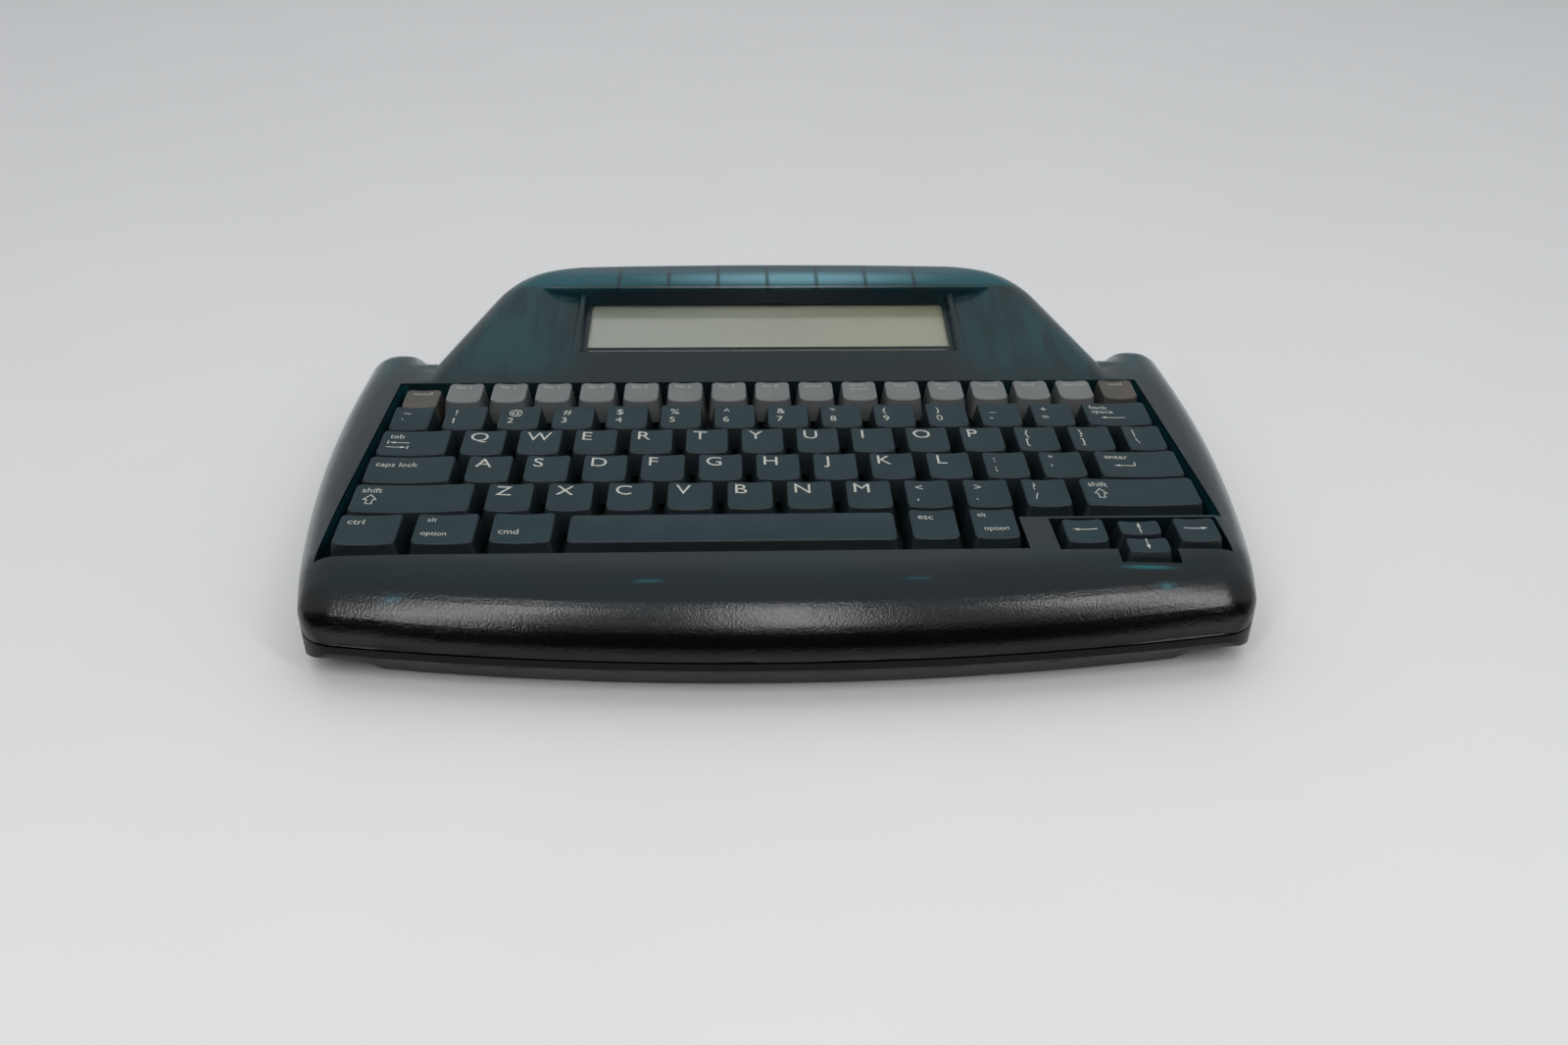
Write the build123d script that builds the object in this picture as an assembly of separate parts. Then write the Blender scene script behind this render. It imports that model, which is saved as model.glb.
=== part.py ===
"""Electronic word processor: a slab-shaped keyboard with a small display in a raised hood behind it.

Millimetres, +Z up, +X to the right of the person typing, +Y away from them.
The origin is the centre of the footprint, on the surface that the feet rest on.
"""
from build123d import *
from math import atan, cos, hypot, pi, radians, sin, sqrt, tan
import os

os.makedirs("parts", exist_ok=True)

# ---- Driving dimensions -------------------------------------------------------------------------

# Case, outside. An inset or setback is measured inwards from the outermost line of the case.
case_width = 316.0
case_depth = 244.0
case_height = 50.0
wall = 2.5
foot_drop = 1.2
parting_z = 14.5
parting_groove = 0.6
deck_z = 33.5
deck_round = 13.0
front_bow = 12.5
front_corner_inset = 16.5
front_corner_round = 14.0
side_widest_setback = 95.0
side_bow = 4.4
pod_width = 21.0
pod_rear_setback = 57.0
pod_notch_depth = 8.0
pod_notch_lean = 5.0
pod_outer_round = 11.5
pod_inner_round = 7.0
under_chamfer = 5.0
hull_round = 8.0
hull_run = 16.0
hull_rise = 6.5

# Display hood.
hood_foot_inset = 18.5
hood_length = 93.0
hood_side_slope = 22.0
hood_rear_bow = 4.0
hood_corner_round = 45.0
hood_edge_round = 12.0
hood_lap = 2.0
crest_setback = 22.0
crest_blend = 40.0
hood_rib_count = 7
hood_rib_pitch = 20.5
hood_rib_thick = 1.2
hood_rib_drop = 9.0

# Display recess, measured along the hood's slope and at right angles to it.
window_side_margin = 66.8
window_length = 30.9
window_setback = 47.1
recess_depth = 6.8
recess_floor_margin = 1.5
recess_rear_margin = 0.3
recess_front_run = 10.5
recess_rear_run = 1.1
flare_radius = 30.0
ridge_width = 3.7
ridge_rise = 3.6
ridge_lean = 0.5
channel_rise = 2.2
lip_round = 3.0
floor_thick = 1.2
lens_lap = 3.5
lens_thick = 0.8
panel_lap = 6.5
panel_thick = 2.8
bezel_thick = 0.4
bezel_lap = 2.0
module_depth = 7.0
board_thick = 1.6
board_lap = 3.0

# Keyboard well in the deck.
well_side_inset = 18.8
well_front_setback = 30.0
well_wall = 1.8
plateau_gap = 0.3
plateau_step = 3.4
arrow_clearance = 1.0
seat_gap = 0.3

# Keyboard.
key_side_margin = 2.04
key_front_margin = 4.8
field_units = 14.4
row_lead = 0.04
cap_gap = 1.05
cap_slope_side = 1.9
cap_slope_front = 1.8
cap_slope_rear = 1.4
cap_corner = 1.1
cap_height = 8.4
cap_above_deck = 1.5
stem_lap = 0.5
top_tilt = 5.0
dish_dip = 0.6
dish_floor_share = 0.4
key_travel = 3.3
stem_size = 5.6
stem_fit = 0.15
function_count = 17
function_row_setback = 18.4
function_row_gap = 2.55
function_depth = 16.4
function_slope_side = 1.25
function_corner = 1.7
power_key_drop = 2.5
arrow_pitch = 17.3
arrow_side_margin = 28.9
arrow_width = 16.3
arrow_depth_less = 4.45
arrow_front_margin = 2.0
half_arrow_overhang = 5.9
half_arrow_gap = 0.5
half_arrow_rear_gap = 0.6
arrow_stem_depth = 4.4

# Keyboard stack, from the bottom up.
backplate_z = 15.2
backplate_thick = 1.0
membrane_thick = 0.4
mat_thick = 1.0
guide_thick = 4.8
stack_margin = 0.8
stack_corner = 8.0
stabiliser_wire = 1.6
stabiliser_setback = 5.6
stabiliser_end_margin = 14.0
wire_gap = 0.1

# Power.
cell_diameter = 14.2
cell_length = 49.2
cell_nub = 1.2
cell_nub_width = 4.6
cell_count = 3
cell_pitch = 15.0
bay_setback = 36.0
bay_wall = 1.5
contact_space = 3.6
contact_thick = 0.4
contact_width = 7.0
contact_reach = 5.2
contact_drop = 1.4
contact_tip = 0.8
door_gap = 0.35
door_thick = 2.0
door_hook = 2.6
door_hook_thick = 1.2
door_hook_width = 9.0
door_hook_slot = 6.0
grip_count = 4
grip_pitch = 2.4
grip_width = 18.0
grip_depth = 0.5

# Electronics.
main_board_z = 8.0
board_front_setback = 7.0
board_side_margin = 6.0
board_pod_margin = 4.0
board_rear_margin = 18.0
board_clear = 1.5
hood_board_inset = 66.0
coin_x = -76.0
coin_radius = 8.0
coin_height = 3.2
socket_size = 12.0
socket_setback = 5.2
socket_ring = 9.6
socket_core = 7.0
socket_slot_depth = 7.0
usb_x = 48.0
usb_width = 12.0
usb_height = 11.0
usb_length = 16.0
usb_mouth_depth = 9.0
usb_rim = 1.5
usb_tongue_width = 5.6
usb_setback = 1.7
port_clearance = 0.4

# Flat cables.
cable_thick = 0.3
cable_landing = 4.0
cable_reach = 2.6
keyboard_cable_x = -30.0
keyboard_cable_width = 40.0
display_cable_inset = 25.0
display_cable_width = 22.0

# Fasteners and feet.
boss_radius = 3.4
boss_wall = 1.4
well_radius = 3.7
front_screw_x = 62.0
front_screw_setback = 20.5
rear_screw_x = 95.0
rear_screw_setback = 30.0
screw_head_depth = 0.8
screw_radius = 1.4
screw_head_radius = 2.9
screw_head_height = 2.0
screw_length = 12.0
rest_post = 4.0
foot_length = 22.0
foot_width = 9.0
foot_cut = 2.5
foot_recess = 0.8
foot_fit = 0.2
front_foot_inset = 46.0
rear_foot_inset = 80.0
foot_setback = 38.0

# ---- Worked-out values --------------------------------------------------------------------------

front_y = -case_depth / 2
rear_y = case_depth / 2
case_half = case_width / 2
base_z = foot_drop
inner_base_z = base_z + wall
front_corner_half = case_half - front_corner_inset
side_widest_y = rear_y - side_widest_setback
pod_inner_half = case_half - pod_width
pod_rear_y = rear_y - pod_rear_setback
pod_notch_y = pod_rear_y - pod_notch_depth
hood_foot_half = case_half - hood_foot_inset
crest_y = rear_y - crest_setback
well_half = case_half - well_side_inset
well_front_y = front_y + well_front_setback
well_rear_y = rear_y - hood_length
window_width = 2 * (hood_foot_half - window_side_margin)
window_centre_y = well_rear_y + window_setback
hood_slope = atan((case_height - deck_z) / (crest_y - well_rear_y))
key_pitch = 2 * (well_half - key_side_margin) / field_units
function_row_y = well_rear_y - function_row_setback
row_pitch = (function_row_y - function_row_gap - well_front_y - key_front_margin) / 5
number_row_y = function_row_y - function_row_gap - row_pitch
field_half = field_units * key_pitch / 2
arrow_depth = row_pitch - arrow_depth_less
half_arrow_depth = (arrow_depth + half_arrow_overhang - half_arrow_rear_gap - half_arrow_gap) / 2
arrow_centre_x = well_half - arrow_side_margin
arrow_front_y = well_front_y + arrow_front_margin
skirt_z = deck_z + cap_above_deck - cap_height
cap_top_z = skirt_z + cap_height
membrane_z = backplate_z + backplate_thick
mat_z = membrane_z + membrane_thick
guide_z = mat_z + mat_thick
guide_top_z = guide_z + guide_thick
stem_foot_z = guide_z + key_travel + seat_gap
main_board_top_z = main_board_z + board_thick
main_board_front_y = well_rear_y + board_front_setback
main_board_half = case_half - board_side_margin
main_board_pod_inner = pod_inner_half + board_pod_margin
socket_x = (main_board_half + main_board_pod_inner) / 2
socket_axis_z = main_board_top_z + socket_size / 2
display_cable_x = window_width / 2 - display_cable_inset
bay_centre_y = rear_y - bay_setback
big = case_width + case_depth
high = 40.0


def hood_surface_z(y):
    """Height of the hood's sloping face at depth y."""
    return deck_z + (y - well_rear_y) * tan(hood_slope)


# The display plane: origin at the window's centre on the recess floor, Y up the slope, Z out of the case.
display_plane = Plane(
    origin=(0, window_centre_y, hood_surface_z(window_centre_y) - recess_depth / cos(hood_slope)),
    x_dir=(1, 0, 0),
    z_dir=(0, -sin(hood_slope), cos(hood_slope)),
)


def block(x0, x1, y0, y1, z0, z1):
    """A box between two corners."""
    corner = (x0, y0, z0)
    return Pos(*corner) * Box(x1 - x0, y1 - y0, z1 - z0, align=(Align.MIN, Align.MIN, Align.MIN))


def post(x, y, z0, z1, radius):
    """A round post between two heights."""
    return Pos(x, y, z0) * Cylinder(radius, z1 - z0, align=(Align.CENTER, Align.CENTER, Align.MIN))


def boss(x, y, z0, z1, radius):
    """A screw boss, or the room for one, with eight flat sides."""
    return extrude(Pos(x, y, z0) * RegularPolygon(radius, 8), z1 - z0)


# ---- Case outline and outer form ----------------------------------------------------------------


def near(vertices, x, y):
    """The vertices at this point and at its mirror image."""
    return [v for v in vertices if hypot(abs(v.X) - x, v.Y - y) < 0.05]


def body_outline(rounded):
    """Plan of the keyboard body: bowed front, flared sides and a pod at each rear corner."""
    corner_y = front_y + front_bow
    side_mid = (case_half - side_bow, (corner_y + side_widest_y) / 2)
    right = [
        ThreePointArc((front_corner_half, corner_y), side_mid, (case_half, side_widest_y)),
        Line((case_half, side_widest_y), (case_half, pod_rear_y)),
        Line((case_half, pod_rear_y), (pod_inner_half, pod_rear_y)),
        Line((pod_inner_half, pod_rear_y), (pod_inner_half - pod_notch_lean, pod_notch_y)),
        Line((pod_inner_half - pod_notch_lean, pod_notch_y), (0, pod_notch_y)),
    ]
    left = [edge.mirror(Plane.YZ) for edge in right]
    front = ThreePointArc((-front_corner_half, corner_y), (0, front_y), (front_corner_half, corner_y))
    face = make_face([front] + right + left)
    corners = (
        (front_corner_half, corner_y, front_corner_round),
        (case_half, pod_rear_y, pod_outer_round),
        (pod_inner_half, pod_rear_y, pod_inner_round),
    )
    for x, y, radius in corners:
        found = near(face.vertices(), x, y)
        if rounded:
            face = fillet(found, radius)
        else:
            face = chamfer(found, chamfer_under(radius))
    return face


def hood_outline():
    """Plan of the display hood: sides that close in towards a bowed rear edge."""
    corner_y = rear_y - hood_rear_bow
    corner_x = hood_foot_half - (corner_y - well_rear_y) * tan(radians(hood_side_slope))
    foot_y = well_rear_y - hood_lap
    right = [
        Line((hood_foot_half, foot_y), (hood_foot_half, well_rear_y)),
        Line((hood_foot_half, well_rear_y), (corner_x, corner_y)),
    ]
    left = [edge.mirror(Plane.YZ) for edge in right]
    rear = ThreePointArc((-corner_x, corner_y), (0, rear_y), (corner_x, corner_y))
    foot = Line((-hood_foot_half, foot_y), (hood_foot_half, foot_y))
    face = make_face([foot, rear] + right + left)
    return fillet(near(face.vertices(), corner_x, corner_y), hood_corner_round)


def hood_side_profile(inset):
    """Side view of the hood: the slope that carries the display, blended into a level crest."""
    foot_y = well_rear_y - 2 * hood_lap
    sides = Polyline(
        (foot_y, 0),
        (foot_y, hood_surface_z(foot_y)),
        (crest_y, case_height),
        (rear_y + hood_lap, case_height),
        (rear_y + hood_lap, 0),
        close=True,
    )
    face = make_face(sides)
    crest = [v for v in face.vertices() if hypot(v.X - crest_y, v.Y - case_height) < 0.05]
    face = fillet(crest, crest_blend)
    if inset > 0:
        face = offset(face, -inset, kind=Kind.INTERSECTION)
    solid = extrude(Plane.YZ * face, big / 2, both=True)
    return solid


def top_edges(solid, above_z):
    """The edges round the upper rim of a block whose walls are upright."""
    chosen = []
    for edge in solid.edges():
        box = edge.bounding_box()
        if box.min.Z > above_z:
            chosen.append(edge)
    return chosen


def body_form():
    """The outside of the keyboard body above the parting plane, with its wide rounded shoulder."""
    solid = extrude(Pos(0, 0, parting_z) * body_outline(True), deck_z - parting_z)
    return fillet(top_edges(solid, deck_z - 0.1), deck_round)


def hood_form():
    """The outside of the display hood above the parting plane."""
    upright = extrude(Pos(0, 0, parting_z) * hood_outline(), case_height)
    solid = upright & hood_side_profile(0)
    rim = [edge for edge in top_edges(solid, deck_z - 2) if edge.bounding_box().max.Y > well_rear_y + 3]
    return fillet(rim, hood_edge_round)


def chamfer_under(radius):
    """The chamfer that stays one wall inside an outer round of this radius."""
    return (radius - wall) * (2 - sqrt(2))


def body_cavity():
    """The hollow inside the keyboard body, one wall in, with flat shoulders under the round ones."""
    plan = offset(body_outline(False), -wall, kind=Kind.INTERSECTION)
    solid = extrude(Pos(0, 0, parting_z) * plan, deck_z - wall - parting_z)
    return chamfer(top_edges(solid, deck_z - wall - 0.1), chamfer_under(deck_round))


def hood_cavity():
    """The hollow inside the display hood, one wall in."""
    plan = offset(hood_outline(), -wall, kind=Kind.INTERSECTION)
    upright = extrude(Pos(0, 0, parting_z) * plan, case_height)
    solid = upright & hood_side_profile(wall)
    low = deck_z - 2 - wall
    rim = [edge for edge in top_edges(solid, low) if edge.bounding_box().max.Y > well_rear_y + 3]
    return chamfer(rim, chamfer_under(hood_edge_round))


def end_profile(grow):
    """Right-hand half of the recess seen along the slope: floor, side wall, ridge, channel and flare."""
    flat_half = window_width / 2 + recess_floor_margin
    channel_x = flat_half + ridge_width
    reach = flare_radius + grow
    centre_z = channel_rise + flare_radius
    foot = (channel_x, centre_z - reach)
    knee = (channel_x + reach * sin(pi / 4), centre_z - reach * cos(pi / 4))
    side = (channel_x + reach, centre_z)
    flare = [ThreePointArc(foot, knee, side), Line(side, (channel_x + reach, centre_z + high))]
    if grow > 0:
        return [Line((0, -grow), (flat_half, -grow)), Line((flat_half, -grow), foot)] + flare
    wall_top = (flat_half + ridge_lean, ridge_rise - ridge_width / 4)
    crown = (flat_half + ridge_width * 0.55, ridge_rise)
    return [
        Line((0, 0), (flat_half, 0)),
        Line((flat_half, 0), wall_top),
        ThreePointArc(wall_top, crown, foot),
    ] + flare


def recess_form(grow):
    """The hollow over the display: sloping front, steep rear with a rounded lip, and flared ends."""
    lean = recess_front_run / recess_depth
    front = -window_length / 2 - recess_floor_margin - grow * (hypot(1, lean) - lean)
    rear = window_length / 2 + recess_rear_margin + grow
    floor = -grow
    if grow > 0:
        back = [Line((rear, floor), (rear + recess_rear_run, high))]
        last = (rear + recess_rear_run, high)
    else:
        wall_top = (rear + recess_rear_run, recess_depth - lip_round * 0.9)
        bend = (wall_top[0] + lip_round * (1 - cos(pi / 4)), wall_top[1] + lip_round * sin(pi / 4))
        edge = (wall_top[0] + lip_round * 0.9, recess_depth + lip_round * 0.1)
        last = (edge[0] + 6 * high, edge[1] + high)
        back = [Line((rear, floor), wall_top), ThreePointArc(wall_top, bend, edge), Line(edge, last)]
    crown = (front - lean * (high - floor), high)
    bottom = Line((front, floor), (rear, floor))
    section = make_face([bottom] + back + [Line(last, crown), Line(crown, (front, floor))])
    side = display_plane.location * extrude(Plane.YZ * section, big / 2, both=True)
    right = end_profile(grow)
    left = [edge.mirror(Plane.YZ) for edge in right]
    top = right[-1] @ 1
    ends = make_face(right + left + [Line((top.X, top.Y), (-top.X, top.Y))])
    across = display_plane.location * extrude(Plane.XZ * ends, big / 2, both=True)
    return side & across


# ---- Keyboard layout ----------------------------------------------------------------------------


def well_outline(grow):
    """Plan of the keyboard opening: a rectangle, with a plateau of the deck round the arrow keys."""
    row_end_x = sum(units for node, units in BOTTOM_ROW) * key_pitch - field_half
    plateau_left_x = row_end_x - cap_gap / 2 + plateau_gap
    plateau_rear_y = number_row_y - 3 * row_pitch - cap_slope_front - plateau_step
    main = make_face(
        Polyline(
            (-well_half - grow, well_front_y - grow),
            (plateau_left_x + grow, well_front_y - grow),
            (plateau_left_x + grow, plateau_rear_y - grow),
            (well_half + grow, plateau_rear_y - grow),
            (well_half + grow, well_rear_y + grow),
            (-well_half - grow, well_rear_y + grow),
            close=True,
        )
    )
    room = arrow_clearance + grow
    outer_reach = arrow_pitch + arrow_width / 2 + room
    low = arrow_front_y - cap_slope_front - room
    high = arrow_front_y + arrow_depth + room
    cross = Pos(arrow_centre_x, (low + high) / 2) * Rectangle(2 * outer_reach, high - low)
    column_low = arrow_front_y - half_arrow_overhang - cap_slope_front - room
    column = Pos(arrow_centre_x, (column_low + high) / 2) * Rectangle(
        arrow_width + 2 * room, high - column_low
    )
    return main + cross + column


def key_places():
    """Every full-size key as (node, left edge, width in key units, row number)."""
    places = []
    marks = 10

    def column_node(index):
        return "keys_" + COLUMNS[min(index, marks)]

    places.append((column_node(0), 0, 1.0 - row_lead, 1))
    for index in range(1, 13):
        places.append((column_node(index - 1), index - row_lead, 1.0, 1))
    places.append(("key_backspace", 13 - row_lead, 1.4 + row_lead, 1))
    places.append(("key_tab", 0, 1.5 - row_lead, 2))
    for index in range(12):
        places.append((column_node(index), 1.5 - row_lead + index, 1.0, 2))
    places.append((column_node(marks), 13.5 - row_lead, 0.9 + row_lead, 2))
    places.append(("key_caps_lock", 0, 1.75 - row_lead, 3))
    for index in range(11):
        places.append((column_node(index), 1.75 - row_lead + index, 1.0, 3))
    places.append(("key_enter", 12.75 - row_lead, 1.65 + row_lead, 3))
    places.append(("key_shift_left", 0, 2.25 - row_lead, 4))
    for index in range(10):
        places.append((column_node(index), 2.25 - row_lead + index, 1.0, 4))
    places.append(("key_shift_right", 12.25 - row_lead, 2.15 + row_lead, 4))
    edge = 0.0
    for node, units in BOTTOM_ROW:
        places.append((node, edge, units, 5))
        edge += units
    return places


COLUMNS = (
    "1_q_a_z",
    "2_w_s_x",
    "3_e_d_c",
    "4_r_f_v",
    "5_t_g_b",
    "6_y_h_n",
    "7_u_j_m",
    "8_i_k_comma",
    "9_o_l_period",
    "0_p_semicolon_slash",
    "marks_right",
)
BOTTOM_ROW = (
    ("key_ctrl", 1.23),
    ("key_alt_left", 1.22),
    ("key_cmd", 1.22),
    ("key_space_bar", 5.5),
    ("key_esc", 1.0),
    ("key_alt_right", 0.97),
)


def cut_corner_points(x0, x1, y0, y1, cut):
    """The outline of a rectangle whose four corners are cut off at 45 degrees."""
    return [
        (x0 + cut, y0),
        (x1 - cut, y0),
        (x1, y0 + cut),
        (x1, y1 - cut),
        (x1 - cut, y1),
        (x0 + cut, y1),
        (x0, y1 - cut),
        (x0, y0 + cut),
    ]


def flat_face(points):
    """A flat face with these corners."""
    return Face(Wire.make_polygon(points, close=True))


def flat_sided(base, top, height):
    """A solid of flat faces between a base outline and a top outline with as many corners."""
    low = [(x, y, 0) for x, y in base]
    high = [(x, y, height) for x, y in top]
    faces = [flat_face(low), flat_face(high)]
    for index in range(len(low)):
        after = (index + 1) % len(low)
        faces.append(flat_face([low[index], low[after], high[after], high[index]]))
    return Solid(Shell(faces))


def frustum(width, depth, height, side, front, rear, cut):
    """A block with cut corners, its base centred on the origin, whose walls lean in by these amounts."""
    base = cut_corner_points(-width / 2, width / 2, -depth / 2, depth / 2, cut)
    top = cut_corner_points(side - width / 2, width / 2 - side, front - depth / 2, depth / 2 - rear, cut)
    return flat_sided(base, top, height)


def top_tool(width, front_y, top_z):
    """What the moulded top removes: everything over a tilted face, hollowed across by three flats."""
    half = width / 2
    reach = half + 6
    floor_half = half * dish_floor_share
    section = Polyline(
        (-reach, 0),
        (-half, 0),
        (-floor_half, -dish_dip),
        (floor_half, -dish_dip),
        (half, 0),
        (reach, 0),
        (reach, 9),
        (-reach, 9),
        close=True,
    )
    bar = extrude(Plane.XZ * make_face(section), 30, both=True)
    return Pos(0, front_y, top_z) * Rot(top_tilt, 0, 0) * bar


def cap(width, depth, height, side, corner, bar):
    """One key cap, with the centre of its base over the origin."""
    rise = cap_height + 2.0
    grow = rise / cap_height
    shell = frustum(width, depth, rise, side * grow, cap_slope_front * grow, cap_slope_rear * grow, corner)
    top_front = -depth / 2 + cap_slope_front
    if bar:
        flat = block(-width, width, -depth, 2 * depth, 0, cap_height)
        tool = Pos(0, top_front, height) * Rot(top_tilt / 2, 0, 0) * flat
    else:
        tool = top_tool(width - 2 * side, top_front, height)
    return Pos(0, 0, skirt_z) * (shell - tool)


def stem(depth):
    """The square plunger under a cap."""
    half = stem_size / 2
    return block(-half, half, -depth / 2, depth / 2, stem_foot_z, skirt_z + stem_lap)


def key(
    width,
    depth,
    height=cap_height,
    side=cap_slope_side,
    corner=cap_corner,
    bar=False,
    stem_depth=stem_size,
):
    """A complete moulded key: cap and stem in one piece."""
    return cap(width, depth, height, side, corner, bar) + stem(stem_depth)


def row_centre_y(row):
    """Depth of the base centre of the keys in one of the five typing rows."""
    front = number_row_y - (row - 1) * row_pitch - cap_slope_front
    return front + (row_pitch - cap_gap) / 2


keys = {}
stems = []


def place_key(node, x, y, solid, stem_depth):
    """File one key under its node and note where its stem runs."""
    keys.setdefault(node, []).append(Pos(x, y, 0) * solid)
    stems.append((x, y, stem_depth))


shapes = {}
for node, left, units, row in key_places():
    kind = (units, node == "key_space_bar")
    if kind not in shapes:
        shapes[kind] = key(units * key_pitch - cap_gap, row_pitch - cap_gap, bar=kind[1])
    x = -field_half + (left + units / 2) * key_pitch
    place_key(node, x, row_centre_y(row), shapes[kind], stem_size)

function_pitch = 2 * field_half / function_count
function_heights = (cap_height, cap_height - power_key_drop)
function_cap, power_cap = (
    key(function_pitch - cap_gap, function_depth, height, function_slope_side, function_corner)
    for height in function_heights
)
for index in range(function_count):
    x = -field_half + (index + 0.5) * function_pitch
    y = function_row_y - cap_slope_front + function_depth / 2
    if index == 0:
        place_key("key_on_off", x, y, power_cap, stem_size)
    elif index == function_count - 1:
        place_key("key_send", x, y, function_cap, stem_size)
    elif index <= 8:
        place_key("keys_files", x, y, function_cap, stem_size)
    else:
        place_key("keys_commands", x, y, function_cap, stem_size)

side_arrow = key(arrow_width, arrow_depth)
half_arrow = key(arrow_width, half_arrow_depth, stem_depth=arrow_stem_depth)
side_y = arrow_front_y - cap_slope_front + arrow_depth / 2
down_y = arrow_front_y - half_arrow_overhang - cap_slope_front + half_arrow_depth / 2
up_y = down_y + half_arrow_depth + half_arrow_gap
place_key("key_arrow_left", arrow_centre_x - arrow_pitch, side_y, side_arrow, stem_size)
place_key("key_arrow_right", arrow_centre_x + arrow_pitch, side_y, side_arrow, stem_size)
place_key("key_arrow_down", arrow_centre_x, down_y, half_arrow, arrow_stem_depth)
place_key("key_arrow_up", arrow_centre_x, up_y, half_arrow, arrow_stem_depth)

for node, solids in keys.items():
    export_step(Compound(children=solids), f"parts/{node}.step")

# ---- Keyboard stack under the caps ---------------------------------------------------------------

stack_half = well_half + well_wall + stack_margin
stack_front_y = well_front_y - well_wall - stack_margin
stack_rear_y = well_rear_y + well_wall + stack_margin
tab_half = arrow_width / 2 + arrow_clearance + well_wall
tab_front_y = arrow_front_y - half_arrow_overhang - cap_slope_front - arrow_clearance - well_wall


def stack_sheet(z, thick):
    """One full-size layer of the keyboard stack, with its tab under the lowest arrow key."""
    outline = Polyline(
        (-stack_half, stack_rear_y),
        (-stack_half, stack_front_y + stack_corner),
        (stack_corner - stack_half, stack_front_y),
        (arrow_centre_x - tab_half, stack_front_y),
        (arrow_centre_x - tab_half, tab_front_y),
        (arrow_centre_x + tab_half, tab_front_y),
        (arrow_centre_x + tab_half, stack_front_y),
        (stack_half - stack_corner, stack_front_y),
        (stack_half, stack_front_y + stack_corner),
        (stack_half, stack_rear_y),
        close=True,
    )
    return extrude(Pos(0, 0, z) * make_face(outline), thick)


space_left = sum(units for node, units in BOTTOM_ROW[:3])
space_units = BOTTOM_ROW[3][1]
space_x = -field_half + (space_left + space_units / 2) * key_pitch
wire_half = space_units * key_pitch / 2 - stabiliser_end_margin
wire_y = row_centre_y(5) + stabiliser_setback
wire_z = skirt_z - stabiliser_wire / 2 - wire_gap
wire = Rot(0, 90, 0) * Cylinder(stabiliser_wire / 2, 2 * wire_half)
export_step(Pos(space_x, wire_y, wire_z) * wire, "parts/space_bar_stabiliser.step")

guide = stack_sheet(guide_z, guide_thick)
holes = []
for x, y, stem_depth in stems:
    half = stem_size / 2 + stem_fit
    half_depth = stem_depth / 2 + stem_fit
    holes.append(block(x - half, x + half, y - half_depth, y + half_depth, guide_z - 1, guide_top_z + 1))
room = stabiliser_wire / 2 + seat_gap
wire_low_z = wire_z - key_travel - room
holes.append(
    block(
        space_x - wire_half - seat_gap,
        space_x + wire_half + seat_gap,
        wire_y - room,
        wire_y + room,
        wire_low_z,
        guide_top_z + 1,
    )
)
guide = guide - holes
export_step(guide, "parts/key_guide_plate.step")
export_step(stack_sheet(mat_z, mat_thick), "parts/rubber_dome_mat.step")
export_step(stack_sheet(membrane_z, membrane_thick), "parts/contact_membrane.step")
export_step(stack_sheet(backplate_z, backplate_thick), "parts/keyboard_backplate.step")


# ---- Upper case ---------------------------------------------------------------------------------

screw_places = [(front_screw_x, front_y + front_screw_setback), (rear_screw_x, rear_y - rear_screw_setback)]
screw_spots = screw_places + [(-x, y) for x, y in screw_places]
boss_foot_z = parting_z + 2.0
screw_seat_z = base_z + screw_head_depth + screw_head_height


def upper_case():
    """The smoked upper shell: deck, shoulders, pods, hood, display recess, keyboard well and ribs."""
    outer = body_form() + hood_form()
    cavity = body_cavity() + hood_cavity()
    shell = outer - cavity + (recess_form(floor_thick) & outer) - recess_form(0)
    well_floor = Pos(0, 0, guide_top_z + seat_gap)
    ring = extrude(well_floor * well_outline(well_wall), big) & outer
    shell = shell + ring - extrude(well_floor * well_outline(0), big)
    ribs = []
    for index in range(hood_rib_count):
        x = (index - (hood_rib_count - 1) / 2) * hood_rib_pitch
        rib = block(
            x - hood_rib_thick / 2,
            x + hood_rib_thick / 2,
            crest_y,
            rear_y - wall,
            case_height - wall - hood_rib_drop,
            case_height - wall,
        )
        ribs.append(rib & cavity)
    for x, y in screw_spots:
        ribs.append(boss(x, y, boss_foot_z, case_height, boss_radius) & cavity)
    shell = shell + ribs
    window = Box(window_width, window_length, 4 * floor_thick)
    shell = shell - display_plane.location * window
    for x, y in screw_spots:
        shell = shell - post(x, y, boss_foot_z - 1, boss_foot_z + screw_length - 2, screw_radius)
    return shell - port_holes()


def port_holes():
    """The openings for the two round sockets and the flat one."""
    holes = []
    for x in (-socket_x, socket_x):
        hole = Pos(x, pod_rear_y, socket_axis_z) * Rot(90, 0, 0) * Cylinder(
            socket_size / 2 - port_clearance, 4 * wall
        )
        holes.append(hole)
    usb_low = main_board_top_z - port_clearance
    holes.append(
        block(
            usb_x - usb_width / 2 - port_clearance,
            usb_x + usb_width / 2 + port_clearance,
            rear_y - 3 * wall - hood_rear_bow,
            rear_y + 1,
            usb_low,
            usb_low + usb_height + 2 * port_clearance,
        )
    )
    return holes


export_step(upper_case(), "parts/upper_case.step")

# ---- Lower case ---------------------------------------------------------------------------------

bay_half_x = cell_length / 2 + contact_space
bay_half_y = (cell_count * cell_pitch) / 2 + 0.6
bay_front_y = bay_centre_y - bay_half_y
bay_rear_y = bay_centre_y + bay_half_y
cell_axis_z = base_z + door_thick + seat_gap + cell_diameter / 2
bay_roof_z = cell_axis_z + cell_diameter / 2 + seat_gap


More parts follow.
